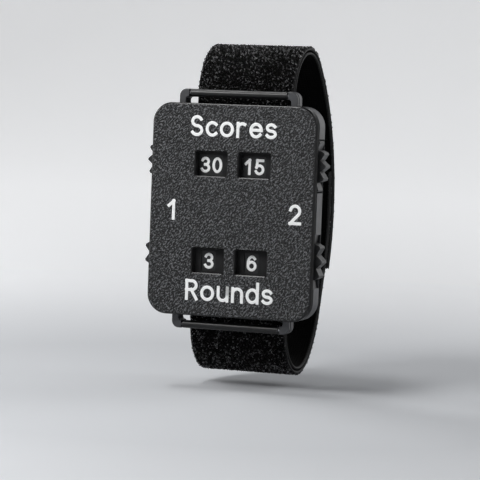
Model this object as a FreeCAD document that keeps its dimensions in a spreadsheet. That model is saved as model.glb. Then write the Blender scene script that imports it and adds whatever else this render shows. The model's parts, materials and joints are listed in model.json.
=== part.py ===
# Wrist-worn score counter: a two-shell case with four toothed number wheels, carried on a
# hook-and-loop strap that runs behind the case.
# Frame: millimetres, +Z up the case, +X to the wearer's right, the front faces -Y. The origin is
# the centre of the flat face that rests on the wrist.
import FreeCAD
import Part
import Sketcher
import math
import os
import re

# Driving dimensions: name, value, what it measures
SIZES = (
    ("case_width", 43.0, "case, side to side"),
    ("case_height", 53.0, "case, bottom to top"),
    ("case_depth", 7.5, "front face to case back"),
    ("corner_radius", 5.0, "case corners seen from the front"),
    ("wall", 1.3, "side walls of both shells"),
    ("front_plate", 1.5, "front plate of the cover"),
    ("cover_edge", 2.3, "front face to the parting line"),
    ("cover_round", 0.7, "rounding of the cover's front edge"),
    ("shadow_gap", 0.4, "groove along the parting line"),
    ("shadow_depth", 0.35, "depth of that groove"),
    ("rear_floor", 0.8, "back wall of the rear case"),
    ("rear_round", 0.9, "rounding of the rear case's back edge"),
    ("overrun", 0.5, "how far a cut runs past the face it opens"),

    ("window_width", 8.3, "number window, side to side"),
    ("window_height", 6.1, "number window, bottom to top"),
    ("window_corner", 0.35, "corner radius of a window"),
    ("points_window_drop", 0.5, "upper windows below their wheel axes"),
    ("games_window_drop", 1.1, "lower windows below their wheel axes"),
    ("window_bevel", 0.25, "bevel round a window's front edge"),
    ("window_frame", 1.0, "wall of the frame behind a window"),
    ("window_skirt", 0.6, "frame depth behind the front plate"),

    ("tooth_reach", 1.8, "tooth tips beyond the case sides"),
    ("middle_gap", 0.8, "tooth tips to the middle line"),
    ("row_gap", 1.1, "upper tooth tips to the lower ones"),
    ("points_room", 3.3, "upper tooth tips to the case's top"),
    ("games_room", 3.8, "lower tooth tips to the case's bottom"),
    ("wheel_top_gap", 0.2, "parting line to the wheel's printed face"),
    ("rim_gap", 0.2, "wheel rim to the bottom of its slot"),
    ("rim_skirt", 0.7, "rim behind the hub"),
    ("tooth_height", 1.3, "thumb teeth above the rim"),
    ("tooth_land", 0.5, "flat on a tooth's tip"),
    ("tooth_root", 0.4, "how deep a tooth is rooted in the rim"),
    ("rim_wall", 1.0, "rim inside the tooth roots"),
    ("web", 1.0, "disc that carries the print"),
    ("print_margin", 3.46, "tooth roots to the middle of the numbers"),
    ("spring_room", 4.7, "rim to the detent hub"),
    ("wheel_clearance", 0.3, "wheel tips to the slots in the case"),
    ("slot_sill", 0.1, "case left below a wheel slot"),

    ("axle_radius", 1.0, "axle pin shank"),
    ("axle_play", 0.05, "running clearance, radial and end play"),
    ("axle_head_radius", 1.6, "axle pin head"),
    ("axle_head", 0.4, "axle pin head thickness"),
    ("head_recess_gap", 0.3, "head to the side of its recess"),
    ("axle_seat", 1.4, "length of pin pressed into the case"),
    ("axle_boss_radius", 2.0, "boss under a wheel hub"),

    ("notch_radius", 0.75, "detent notch in the hub"),
    ("notch_offset", 0.25, "notch centre outside the hub radius"),
    ("nose_radius", 0.6, "nose of the detent spring"),
    ("nose_offset", 0.35, "nose centre outside the hub radius"),
    ("leaf_offset", 0.55, "hub to the leaf's inner face"),
    ("leaf_thickness", 0.2, "detent leaf stock"),
    ("leaf_width", 1.2, "detent leaf, front to back"),
    ("post_gap", 0.94, "leaf posts to the rim"),
    ("leaf_front_gap", 0.7, "wheel web to the leaf"),
    ("leaf_play", 0.05, "leaf to its slot"),
    ("post_length", 1.2, "leaf post along the leaf"),
    ("post_width", 1.2, "leaf post across the leaf"),

    ("screw_inset", 3.2, "case screws from the case sides"),
    ("screw_end_inset", 2.5, "case screws from the case ends"),
    ("screw_boss_radius", 1.9, "bosses round the case screws"),
    ("screw_radius", 0.8, "screw shank"),
    ("screw_play", 0.15, "shank to its clearance hole"),
    ("screw_head_radius", 1.3, "screw head"),
    ("screw_head", 0.7, "screw head thickness"),
    ("screw_head_play", 0.1, "head to its counterbore"),
    ("screw_cap", 0.6, "front plate left over a screw's end"),
    ("screw_slot", 0.35, "driver slot width"),
    ("screw_slot_depth", 0.35, "driver slot depth"),

    ("lug_width", 1.75, "lug, side to side"),
    ("lug_height", 3.5, "lug above the case end"),
    ("lug_setback", 0.2, "parting line to the lug's front"),
    ("lug_front", 0.9, "lug ahead of its groove"),
    ("lug_groove", 0.6, "groove along the lug's outside"),
    ("lug_groove_depth", 0.4, "depth of that groove"),
    ("lug_back", 2.3, "lug behind its groove"),
    ("lug_round", 1.8, "outer bend of a lug"),
    ("lug_bend", 0.7, "inner bend of a lug"),
    ("lug_edge", 0.25, "softened edges of a lug"),
    ("stub_length", 0.75, "arm of the lug that points at the bar"),
    ("stub_half_height", 1.0, "half the height of that arm"),
    ("lug_hole_depth", 1.6, "blind hole for a bar tip"),

    ("bar_level", 2.5, "bar axis above the case end"),
    ("bar_depth", 3.3, "bar axis behind the front face"),
    ("bar_radius", 1.0, "spring bar tube"),
    ("bar_length", 25.2, "spring bar tube length"),
    ("bar_end_gap", 0.4, "bar tube to the arm of a lug"),
    ("bar_bore", 0.62, "bore of the tube"),
    ("bar_lip", 0.4, "rolled lip at each end of the tube"),
    ("tip_pin_radius", 0.4, "sprung tip of the bar"),
    ("tip_play", 0.05, "tip to its holes"),
    ("tip_flange_radius", 0.55, "flange that keeps a tip in"),
    ("tip_flange", 0.6, "flange thickness"),
    ("tip_end_gap", 0.05, "tip end to the bottom of its hole"),
    ("coil_radius", 0.4, "bar spring, to the middle of the wire"),
    ("coil_wire", 0.17, "bar spring wire radius"),

    ("bridge_half_height", 10.0, "strap bridge, above and below the centre"),
    ("bridge_rail", 1.5, "bridge rails beside the strap"),
    ("bridge_plate", 1.2, "bridge plate on the wrist"),
    ("bridge_tunnel", 2.5, "height of the strap tunnel"),
    ("bridge_corner", 2.0, "corners of the bridge plate"),
    ("bridge_edge", 0.4, "softened edge of the bridge plate"),
    ("strap_side_gap", 0.4, "strap edge to a rail"),

    ("strap_width", 25.4, "hook-and-loop strap"),
    ("pile_thickness", 1.4, "loop pile layer"),
    ("lining_thickness", 0.8, "lining layer"),
    ("strap_gap", 0.2, "strap to the case back"),
    ("strap_run", 57.0, "straight run behind the case"),
    ("crown_radius", 13.5, "strap bend at top and bottom"),
    ("loop_depth", 40.0, "strap loop, front to back"),
    ("tuck_radius", 27.4, "bend that tucks the inner end in"),
    ("tab_root_level", 14.0, "where the free tab lifts off"),
    ("tab_end_level", -16.0, "end of the free tab"),
    ("inner_end_level", 10.0, "end of the strap under the tab"),
    ("hook_thickness", 0.7, "hook tape under the tab"),
    ("hook_gap", 0.2, "hook tape to the pile below"),
    ("hook_margin", 1.5, "hook tape inside the tab's ends and edges"),
)

# Counts
POINTS_TEETH = 22
POINTS_STEPS = 5
GAMES_TEETH = 19
GAMES_STEPS = 7
COIL_TURNS = 16
SIDES = (("left", -1), ("right", 1))
ENDS = (("top", 1), ("bottom", -1))

# Depths behind the front face, and the distance from there back to the wrist
STACK = "(case_depth + bridge_tunnel + bridge_plate)"
FLOOR_DEPTH = "(case_depth - rear_floor)"
WHEEL_DEPTH = "(cover_edge + wheel_top_gap)"
SLOT_FLOOR = f"({FLOOR_DEPTH} - slot_sill)"
RIM_BACK = f"({SLOT_FLOOR} - rim_gap)"
WHEEL_BACK = f"({RIM_BACK} - rim_skirt)"
RIM_DEPTH = f"({RIM_BACK} - {WHEEL_DEPTH})"
HUB_DEPTH = f"({WHEEL_BACK} - {WHEEL_DEPTH})"
LEAF_DEPTH = f"({WHEEL_DEPTH} + web + leaf_front_gap)"
HEAD_RECESS = "(axle_head + 2 * axle_play)"
CASE_TOP = "(case_height / 2)"
TUNNEL_HALF = "(strap_width / 2 + strap_side_gap)"
STRAP_THICKNESS = "(pile_thickness + lining_thickness)"
LUG_INNER = "(bar_length / 2 + bar_end_gap + stub_length)"

# A wheel fills the room that the rows and the two sides leave it
ROW_ROOM = "((case_height - points_room - games_room - row_gap) / 4)"
SIDE_ROOM = "((case_width / 2 + tooth_reach - middle_gap) / 2)"
TIP_RADIUS = f"min({ROW_ROOM}; {SIDE_ROOM})"
ROOT_RADIUS = f"({TIP_RADIUS} - tooth_height)"
RIM_INSIDE = f"({ROOT_RADIUS} - rim_wall)"
HUB_RADIUS = f"({RIM_INSIDE} - spring_room)"
WHEEL_REACH = f"(case_width / 2 + tooth_reach - {TIP_RADIUS})"
WINDOW_REACH = f"({WHEEL_REACH} - {ROOT_RADIUS} + print_margin)"
POINTS_LEVEL = f"({CASE_TOP} - points_room - {TIP_RADIUS})"
GAMES_LEVEL = f"({TIP_RADIUS} + games_room - {CASE_TOP})"

# A detent leaf lies beside the hub, as long as the rim lets its posts be
LEAF_REACH = f"({HUB_RADIUS} + leaf_offset + leaf_thickness / 2)"
POST_CORNER = f"({LEAF_REACH} + post_width / 2)"
LEAF_HALF = f"(sqrt(({RIM_INSIDE} - post_gap) ^ 2 - {POST_CORNER} ^ 2) - leaf_thickness)"

# Each wheel: row, height of its axis, teeth, number of places it stops at
ROWS = (
    ("points", POINTS_LEVEL, POINTS_TEETH, POINTS_STEPS),
    ("games", GAMES_LEVEL, GAMES_TEETH, GAMES_STEPS),
)

X_AXIS = FreeCAD.Vector(1, 0, 0)
Y_AXIS = FreeCAD.Vector(0, 1, 0)
Z_AXIS = FreeCAD.Vector(0, 0, 1)
ALONG_X = FreeCAD.Rotation(Y_AXIS, 90)
ALONG_Y = FreeCAD.Rotation(X_AXIS, -90)
SAME_PLACE = 1e-4

doc = FreeCAD.newDocument("score_counter")
sheet = doc.addObject("Spreadsheet::Sheet", "Sizes")
for row, (alias, number, meaning) in enumerate(SIZES, 1):
    sheet.set(f"A{row}", meaning)
    sheet.set(f"B{row}", str(number))
    sheet.setAlias(f"B{row}", alias)
doc.recompute()

ALIAS_WORD = re.compile(r"\b(?:" + "|".join(alias for alias, _, _ in SIZES) + r")\b")


def expression(text):
    """Write size names as references to the sheet."""
    return ALIAS_WORD.sub(lambda word: "Sizes." + word.group(), text)


def value(text):
    """Work out a size, or a sum of sizes, as a number."""
    return float(sheet.evalExpression(expression(text)))


def bind(item, **sizes):
    """Bind properties to sizes; a double underscore stands for a dot in the property's path."""
    for name, text in sizes.items():
        item.setExpression(name.replace("__", "."), expression(text))


def at_depth(depth):
    """The Y place of a depth behind the front face."""
    return f"({depth}) - {STACK}"


# Sketch helpers

def sketch_on(body, role, offset, name):
    """A sketch on one of the body's own origin planes, moved along the plane's normal."""
    sketch = body.newObject("Sketcher::SketchObject", name)
    plane = next(item for item in body.Origin.OriginFeatures if item.Role == role)
    sketch.AttachmentSupport = (plane, [""])
    sketch.MapMode = "FlatFace"
    bind(sketch, AttachmentOffset__Base__z=offset)
    return sketch


def front_sketch(body, depth, name):
    """A sketch seen from the front, at a depth behind the front face."""
    return sketch_on(body, "XZ_Plane", f"{STACK} - ({depth})", name)


def pin(sketch, item, vertex, across=None, upward=None):
    """Hold a point of the sketch at named places along its two axes."""
    for kind, axis, text in (("DistanceX", -2, across), ("DistanceY", -1, upward)):
        if text is None:
            continue
        if text == "0":
            sketch.addConstraint(Sketcher.Constraint("PointOnObject", item, vertex, axis))
            continue
        number = sketch.addConstraint(Sketcher.Constraint(kind, item, vertex, value(text)))
        sketch.setExpression(f"Constraints[{number}]", expression(text))


def add_circle(sketch, across, upward, radius):
    """A circle held by its centre and radius."""
    centre = FreeCAD.Vector(value(across), value(upward), 0)
    item = sketch.addGeometry(Part.Circle(centre, Z_AXIS, value(radius)), False)
    pin(sketch, item, 3, across, upward)
    number = sketch.addConstraint(Sketcher.Constraint("Radius", item, value(radius)))
    sketch.setExpression(f"Constraints[{number}]", expression(radius))


def add_polygon(sketch, points):
    """A closed outline of straight edges, each corner held at its place."""
    corners = [FreeCAD.Vector(value(across), value(upward), 0) for across, upward in points]
    edges = [
        sketch.addGeometry(Part.LineSegment(corner, corners[(number + 1) % len(corners)]), False)
        for number, corner in enumerate(corners)
    ]
    for number, (across, upward) in enumerate(points):
        sketch.addConstraint(Sketcher.Constraint("Coincident", edges[number - 1], 2, edges[number], 1))
        pin(sketch, edges[number], 1, across, upward)


def add_outline(sketch, corners):
    """A closed outline of level and upright edges; a corner is its two places and its radius, or None."""
    places = [FreeCAD.Vector(value(across), value(upward), 0) for across, upward, _ in corners]
    bends = [value(radius) if radius else 0 for _, _, radius in corners]
    following = [(number + 1) % len(corners) for number in range(len(corners))]
    ways = [(places[after] - place).normalize() for place, after in zip(places, following)]
    lines = []
    for number, (across, upward, _) in enumerate(corners):
        after = following[number]
        start = places[number] + ways[number] * bends[number]
        end = places[after] - ways[number] * bends[after]
        line = sketch.addGeometry(Part.LineSegment(start, end), False)
        level = abs(ways[number].x) > abs(ways[number].y)
        sketch.addConstraint(Sketcher.Constraint("Horizontal" if level else "Vertical", line))
        pin(sketch, line, 1, **({"upward": upward} if level else {"across": across}))
        lines.append(line)
    for number, (_, _, radius) in enumerate(corners):
        before, after = lines[number - 1], lines[number]
        if radius is None:
            sketch.addConstraint(Sketcher.Constraint("Coincident", before, 2, after, 1))
            continue
        arrive, leave = ways[number - 1], ways[number]
        centre = places[number] + (leave - arrive) * bends[number]
        turns_left = arrive.x * leave.y > arrive.y * leave.x
        first = leave * -1 if turns_left else arrive
        angle = math.atan2(first.y, first.x)
        bend = Part.ArcOfCircle(Part.Circle(centre, Z_AXIS, bends[number]), angle, angle + math.pi / 2)
        arc = sketch.addGeometry(bend, False)
        near, far = (1, 2) if turns_left else (2, 1)
        sketch.addConstraint(Sketcher.Constraint("Tangent", before, 2, arc, near))
        sketch.addConstraint(Sketcher.Constraint("Tangent", arc, far, after, 1))
        held = sketch.addConstraint(Sketcher.Constraint("Radius", arc, bends[number]))
        sketch.setExpression(f"Constraints[{held}]", expression(radius))


def add_rectangle(sketch, left, right, bottom, top, radius=None):
    """An upright rectangle between four named places, with sharp or round corners."""
    add_outline(sketch, [(left, bottom, radius), (right, bottom, radius), (right, top, radius),
                         (left, top, radius)])


def add_centred_rectangle(sketch, across, upward, width, height, radius):
    """An upright rectangle about a centre, with four equal round corners."""
    add_rectangle(sketch, f"{across} - ({width}) / 2", f"{across} + ({width}) / 2",
                  f"{upward} - ({height}) / 2", f"{upward} + ({height}) / 2", radius)


# Feature helpers

def new_body(label):
    body = doc.addObject("PartDesign::Body", label)
    body.Label = label
    return body


def sweep(body, kind, sketch, length, turned):
    """A Pad or Pocket of a sketch, along its usual direction or turned round."""
    feature = body.newObject("PartDesign::" + kind, sketch.Name + "_" + kind.lower())
    feature.Profile = sketch
    feature.Reversed = turned
    bind(feature, Length=length)
    return feature


def pad_back(body, sketch, length):
    """Grow a front sketch towards the wrist."""
    return sweep(body, "Pad", sketch, length, True)


def cut_back(body, sketch, length):
    """Cut from a front sketch towards the wrist."""
    return sweep(body, "Pocket", sketch, length, False)


def cut_forward(body, sketch, length):
    """Cut from a front sketch towards the front face."""
    return sweep(body, "Pocket", sketch, length, True)


def dress(body, kind, size, wanted):
    """Fillet or chamfer the edges of the body so far that pass a test."""
    doc.recompute()
    base = body.Tip
    names = [f"Edge{number}" for number, edge in enumerate(base.Shape.Edges, 1) if wanted(edge)]
    feature = body.newObject("PartDesign::" + kind, f"{body.Name}_{kind.lower()}")
    feature.Base = (base, names)
    bind(feature, **{"Radius" if kind == "Fillet" else "Size": size})
    return feature


def lies_at_depth(edge, depth):
    """Whether the whole edge lies in the plane at a depth behind the front face."""
    place = value(at_depth(depth))
    box = edge.BoundBox
    return abs(box.YMin - place) < SAME_PLACE and abs(box.YMax - place) < SAME_PLACE


def repeat_round(body, feature, count):
    """Repeat a feature evenly about the body's Y axis."""
    pattern = body.newObject("PartDesign::PolarPattern", feature.Name + "_round")
    pattern.Originals = [feature]
    axis = next(item for item in body.Origin.OriginFeatures if item.Role == "Y_Axis")
    pattern.Axis = (axis, [""])
    pattern.Angle = 360
    pattern.Occurrences = count
    body.Tip = pattern
    return pattern


def rod(name, turn, radius, length, x, y, z):
    """A round bar that starts at a point and runs along the turned axis."""
    bar = doc.addObject("Part::Cylinder", name)
    bar.Placement.Rotation = turn
    bind(bar, Radius=radius, Height=length)
    bind(bar, Placement__Base__x=x, Placement__Base__y=y, Placement__Base__z=z)
    return bar


def block(name, length, width, height, x, y, z):
    """A box from its lowest corner."""
    item = doc.addObject("Part::Box", name)
    bind(item, Length=length, Width=width, Height=height)
    bind(item, Placement__Base__x=x, Placement__Base__y=y, Placement__Base__z=z)
    return item


def joined(name, items):
    fuse = doc.addObject("Part::MultiFuse", name)
    fuse.Shapes = items
    return fuse


def minus(name, base, tool):
    cut = doc.addObject("Part::Cut", name)
    cut.Base = base
    cut.Tool = tool
    return cut


def group(label, items):
    compound = doc.addObject("Part::Compound", label)
    compound.Links = items
    return compound


def each_wheel():
    """Every wheel place: its name, its side, the height of its axis, teeth and stops."""
    for row_name, level, teeth, steps in ROWS:
        for side_name, side in SIDES:
            yield row_name, side_name, side, level, teeth, steps


def each_screw():
    for _, side in SIDES:
        for _, end in ENDS:
            yield (f"{side} * (case_width / 2 - screw_inset)",
                   f"{end} * ({CASE_TOP} - screw_end_inset)")


# Case shells

def make_front_cover():
    """The grained front plate with its edge, four framed windows and screw bosses."""
    body = new_body("front_cover")
    outline = front_sketch(body, "0", "cover_outline")
    add_centred_rectangle(outline, "0", "0", "case_width", "case_height", "corner_radius")
    pad_back(body, outline, "cover_edge - shadow_gap")
    dress(body, "Fillet", "cover_round", lambda edge: lies_at_depth(edge, "0"))
    step = front_sketch(body, "cover_edge - shadow_gap", "cover_step")
    add_centred_rectangle(step, "0", "0", "case_width - 2 * shadow_depth", "case_height - 2 * shadow_depth",
                          "corner_radius - shadow_depth")
    pad_back(body, step, "shadow_gap")

    hollow = front_sketch(body, "front_plate", "cover_hollow")
    add_centred_rectangle(hollow, "0", "0", "case_width - 2 * wall", "case_height - 2 * wall",
                          "corner_radius - wall")
    cut_back(body, hollow, "cover_edge - front_plate")

    frames = front_sketch(body, "front_plate", "window_frames")
    openings = front_sketch(body, "0", "window_openings")
    for level in (f"({POINTS_LEVEL} - points_window_drop)", f"({GAMES_LEVEL} - games_window_drop)"):
        for _, side in SIDES:
            place = (f"{side} * {WINDOW_REACH}", level)
            add_centred_rectangle(frames, *place, "window_width + 2 * window_frame",
                                  "window_height + 2 * window_frame", "window_frame")
            add_centred_rectangle(openings, *place, "window_width", "window_height", "window_corner")
    pad_back(body, frames, "window_skirt")

    bosses = front_sketch(body, "front_plate", "cover_bosses")
    holes = front_sketch(body, "cover_edge", "cover_pilot_holes")
    for place in each_screw():
        add_circle(bosses, *place, "screw_boss_radius")
        add_circle(holes, *place, "screw_radius")
    pad_back(body, bosses, "cover_edge - front_plate")
    cut_back(body, openings, "front_plate + window_skirt + overrun")
    cut_forward(body, holes, "cover_edge - screw_cap")

    inside = value("case_width / 2 - corner_radius")
    dress(body, "Chamfer", "window_bevel",
          lambda edge: lies_at_depth(edge, "0") and edge.BoundBox.DiagonalLength < inside)
    return body


def make_rear_case():
    """The rear shell with wheel slots, bosses, spring posts, lugs and the strap bridge."""
    body = new_body("rear_case")
    outline = front_sketch(body, "cover_edge", "case_outline")
    add_centred_rectangle(outline, "0", "0", "case_width", "case_height", "corner_radius")
    pad_back(body, outline, "case_depth - cover_edge")
    dress(body, "Fillet", "rear_round", lambda edge: lies_at_depth(edge, "case_depth"))

    hollow = front_sketch(body, "cover_edge", "case_hollow")
    add_centred_rectangle(hollow, "0", "0", "case_width - 2 * wall", "case_height - 2 * wall",
                          "corner_radius - wall")
    cut_back(body, hollow, f"{FLOOR_DEPTH} - cover_edge")

    slots = front_sketch(body, "cover_edge", "wheel_slots")
    boss_front = f"({WHEEL_BACK} + axle_play)"
    axle_bosses = front_sketch(body, boss_front, "axle_bosses")
    axle_holes = front_sketch(body, boss_front, "axle_holes")
    posts = front_sketch(body, LEAF_DEPTH, "leaf_posts")
    post_slots = front_sketch(body, LEAF_DEPTH, "leaf_slots")
    for _, _, side, level, _, _ in each_wheel():
        across = f"{side} * {WHEEL_REACH}"
        add_circle(slots, across, level, f"{TIP_RADIUS} + wheel_clearance")
        add_circle(axle_bosses, across, level, "axle_boss_radius")
        add_circle(axle_holes, across, level, "axle_radius")
        leaf = f"{side} * ({WHEEL_REACH} - {LEAF_REACH})"
        add_rectangle(post_slots, f"{leaf} - leaf_thickness / 2 - leaf_play",
                      f"{leaf} + leaf_thickness / 2 + leaf_play",
                      f"{level} - {LEAF_HALF} - leaf_play",
                      f"{level} + {LEAF_HALF} + leaf_play")
        for _, end in ENDS:
            middle = f"{level} + {end} * ({LEAF_HALF} - post_length / 2)"
            add_rectangle(posts, f"{leaf} - post_width / 2", f"{leaf} + post_width / 2",
                          f"{middle} - post_length / 2 - leaf_thickness",
                          f"{middle} + post_length / 2 + leaf_thickness")
    cut_back(body, slots, f"{SLOT_FLOOR} - cover_edge")
    pad_back(body, axle_bosses, f"{FLOOR_DEPTH} - {boss_front}")
    pad_back(body, posts, f"{FLOOR_DEPTH} - {LEAF_DEPTH}")
    cut_back(body, post_slots, "leaf_width + leaf_play")
    cut_back(body, axle_holes, "axle_seat")

    screw_bosses = front_sketch(body, "cover_edge", "screw_bosses")
    screw_holes = front_sketch(body, "cover_edge", "screw_holes")
    head_holes = front_sketch(body, "case_depth", "screw_head_holes")
    for place in each_screw():
        add_circle(screw_bosses, *place, "screw_boss_radius")
        add_circle(screw_holes, *place, "screw_radius + screw_play")
        add_circle(head_holes, *place, "screw_head_radius + screw_head_play")
    pad_back(body, screw_bosses, f"{FLOOR_DEPTH} - cover_edge")
    cut_back(body, screw_holes, "case_depth - cover_edge + overrun")
    cut_forward(body, head_holes, "screw_head + screw_head_play")

    rails = front_sketch(body, "case_depth", "bridge_rails")
    for _, side in SIDES:
        edges = (f"{side} * {TUNNEL_HALF}", f"{side} * ({TUNNEL_HALF} + bridge_rail)")
        add_rectangle(rails, *sorted(edges, key=value), "-bridge_half_height", "bridge_half_height")
    pad_back(body, rails, "bridge_tunnel")
    plate = front_sketch(body, "case_depth + bridge_tunnel", "bridge_plate_outline")
    add_centred_rectangle(plate, "0", "0", f"2 * ({TUNNEL_HALF} + bridge_rail)",
                          "2 * bridge_half_height", "bridge_corner")
    pad_back(body, plate, "bridge_plate")
    dress(body, "Fillet", "bridge_edge", lambda edge: lies_at_depth(edge, STACK))

    add_lugs(body)
    return body


def add_lugs(body):
    """Four lugs: elbows that turn in to meet the bars, with a groove round their outside."""
    front = "(cover_edge + lug_setback)"
    groove = f"({front} + lug_front)"
    back = f"({groove} + lug_groove)"
    layers = (
        ("front", front, "lug_front", "0"),
        ("neck", groove, "lug_groove", "lug_groove_depth"),
        ("back", back, "lug_back", "0"),
    )
    arm_end = f"({LUG_INNER} - stub_length)"
    arm_low = f"({CASE_TOP} + bar_level - stub_half_height)"
    root = f"({CASE_TOP} - wall)"
    for layer, depth, thickness, inset in layers:
        elbows = front_sketch(body, depth, f"lug_{layer}")
        outside, top = f"({LUG_INNER} + lug_width - {inset})", f"({CASE_TOP} + lug_height - {inset})"
        for _, side in SIDES:
            for _, end in ENDS:
                add_outline(elbows, [
                    (f"{side} * {outside}", f"{end} * {root}", None),
                    (f"{side} * {outside}", f"{end} * {top}", f"lug_round - {inset}"),
                    (f"{side} * {arm_end}", f"{end} * {top}", None),
                    (f"{side} * {arm_end}", f"{end} * {arm_low}", None),
                    (f"{side} * {LUG_INNER}", f"{end} * {arm_low}", "lug_bend"),
                    (f"{side} * {LUG_INNER}", f"{end} * {root}", None),
                ])
        pad_back(body, elbows, thickness)

    case_end, arm_face = value(CASE_TOP), value(arm_end)

    def on_lug_rim(edge):
        """Whether the edge bounds a lug's front or back face, away from its root and its arm's end."""
        box = edge.BoundBox
        heights = sorted((abs(box.ZMin), abs(box.ZMax)))
        outside = heights[0] > case_end - SAME_PLACE and heights[1] > case_end + SAME_PLACE
        beside_arm = max(abs(box.XMin), abs(box.XMax)) > arm_face + SAME_PLACE
        on_face = lies_at_depth(edge, front) or lies_at_depth(edge, f"{back} + lug_back")
        return outside and beside_arm and on_face

    dress(body, "Fillet", "lug_edge", on_lug_rim)
    for side_name, side in SIDES:
        hole = sketch_on(body, "YZ_Plane", f"{side} * {arm_end}", f"lug_holes_{side_name}")
        for _, end in ENDS:
            add_circle(hole, at_depth("bar_depth"), f"{end} * ({CASE_TOP} + bar_level)",
                       "tip_pin_radius + tip_play")
        sweep(body, "Pocket", hole, "lug_hole_depth", side > 0)


# Number wheels and what carries them

def make_wheel(name, side, level, teeth, steps):
    """A toothed wheel with a printed front disc, a deep rim, a hub with one notch per stop and a bore."""
    body = new_body(name)
    disc = sketch_on(body, "XZ_Plane", "0", f"{name}_disc")
    add_circle(disc, "0", "0", ROOT_RADIUS)
    pad_back(body, disc, RIM_DEPTH)

    half_base = f"{ROOT_RADIUS} * sin({180 / teeth} deg)"
    foot = f"{ROOT_RADIUS} * cos({180 / teeth} deg)"
    tooth = sketch_on(body, "XZ_Plane", "0", f"{name}_tooth")
    add_polygon(tooth, (
        (f"{ROOT_RADIUS} - tooth_root", f"-{half_base}"),
        (foot, f"-{half_base}"),
        (TIP_RADIUS, "-tooth_land / 2"),
        (TIP_RADIUS, "tooth_land / 2"),
        (foot, half_base),
        (f"{ROOT_RADIUS} - tooth_root", half_base),
    ))
    repeat_round(body, pad_back(body, tooth, RIM_DEPTH), teeth)

    skirt = sketch_on(body, "XZ_Plane", f"-{HUB_DEPTH}", f"{name}_skirt")
    add_circle(skirt, "0", "0", RIM_INSIDE)
    cut_back(body, skirt, "rim_skirt")
    hollow = sketch_on(body, "XZ_Plane", "-web", f"{name}_hollow")
    add_circle(hollow, "0", "0", RIM_INSIDE)
    add_circle(hollow, "0", "0", HUB_RADIUS)
    cut_back(body, hollow, f"{HUB_DEPTH} - web")

    notch = sketch_on(body, "XZ_Plane", "-web", f"{name}_notch")
    add_circle(notch, f"{-side} * ({HUB_RADIUS} + notch_offset)", "0", "notch_radius")
    repeat_round(body, cut_back(body, notch, f"{HUB_DEPTH} - web"), steps)

    recess = sketch_on(body, "XZ_Plane", "0", f"{name}_recess")
    add_circle(recess, "0", "0", "axle_head_radius + head_recess_gap")
    cut_back(body, recess, HEAD_RECESS)
    bore = sketch_on(body, "XZ_Plane", "0", f"{name}_bore")
    add_circle(bore, "0", "0", "axle_radius + axle_play")
    cut_back(body, bore, HUB_DEPTH)
    bind(body, Placement__Base__x=f"{side} * {WHEEL_REACH}", Placement__Base__y=at_depth(WHEEL_DEPTH),
         Placement__Base__z=level)
    return body


def make_axle_pins():
    """Four headed pins pressed into the rear case, one through each wheel."""
    pins = []
    head_front = f"({WHEEL_DEPTH} + axle_play)"
    for row_name, side_name, side, level, _, _ in each_wheel():
        name = f"axle_{row_name}_{side_name}"
        across = f"{side} * {WHEEL_REACH}"
        head = rod(name + "_head", ALONG_Y, "axle_head_radius", "axle_head",
                   across, at_depth(head_front), level)
        length = f"{WHEEL_BACK} + axle_play + axle_seat - {head_front}"
        shank = rod(name + "_shank", ALONG_Y, "axle_radius", length,
                    across, at_depth(head_front), level)
        pins.append(joined(name, [head, shank]))
    return group("axle_pins", pins)


def make_detent(row_name, side_name, side, level):
    """A leaf spring held at both ends, with a round nose resting in a hub notch."""
    name = f"{row_name}_detent_{side_name}"
    inner = f"{side} * ({WHEEL_REACH} - {LEAF_REACH} + leaf_thickness / 2)"
    outer = f"{side} * ({WHEEL_REACH} - {LEAF_REACH} - leaf_thickness / 2)"
    low = min((inner, outer), key=value)
    leaf = block(name + "_leaf", "leaf_thickness", "leaf_width", f"2 * {LEAF_HALF}",
                 low, at_depth(LEAF_DEPTH), f"{level} - {LEAF_HALF}")
    nose = rod(name + "_nose", ALONG_Y, "nose_radius", "leaf_width",
               f"{side} * ({WHEEL_REACH} - {HUB_RADIUS} - nose_offset)", at_depth(LEAF_DEPTH), level)
    return joined(name, [leaf, nose])


def make_case_screws():
    """Four slotted screws from the back that hold the two shells together."""
    screws = []
    for number, (across, level) in enumerate(each_screw(), 1):
        name = f"screw_{number}"
        head_front = "(case_depth - screw_head)"
        shank = rod(name + "_shank", ALONG_Y, "screw_radius", f"{head_front} - screw_cap",
                    across, at_depth("screw_cap"), level)
        head = rod(name + "_head", ALONG_Y, "screw_head_radius", "screw_head",
                   across, at_depth(head_front), level)
        slot = block(name + "_slot", "2 * screw_head_radius", "screw_slot_depth + overrun", "screw_slot",
                     f"{across} - screw_head_radius", at_depth("case_depth - screw_slot_depth"),
                     f"{level} - screw_slot / 2")
        screws.append(minus(name, joined(name + "_blank", [shank, head]), slot))
    return group("case_screws", screws)


# Spring bars between the lugs

def make_bar_tube(end_name, end):
    """A tube with a lip rolled in at each end."""
    name = f"{end_name}_bar_tube"
    place = (at_depth("bar_depth"), f"{end} * ({CASE_TOP} + bar_level)")
    outside = rod(name + "_outside", ALONG_X, "bar_radius", "bar_length", "-bar_length / 2", *place)
    bore = rod(name + "_bore", ALONG_X, "bar_bore", "bar_length - 2 * bar_lip",
               "bar_lip - bar_length / 2", *place)
    mouth = rod(name + "_mouth", ALONG_X, "tip_pin_radius + tip_play", "bar_length + 2 * overrun",
                "-bar_length / 2 - overrun", *place)
    return minus(name, outside, joined(name + "_inside", [bore, mouth]))


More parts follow.
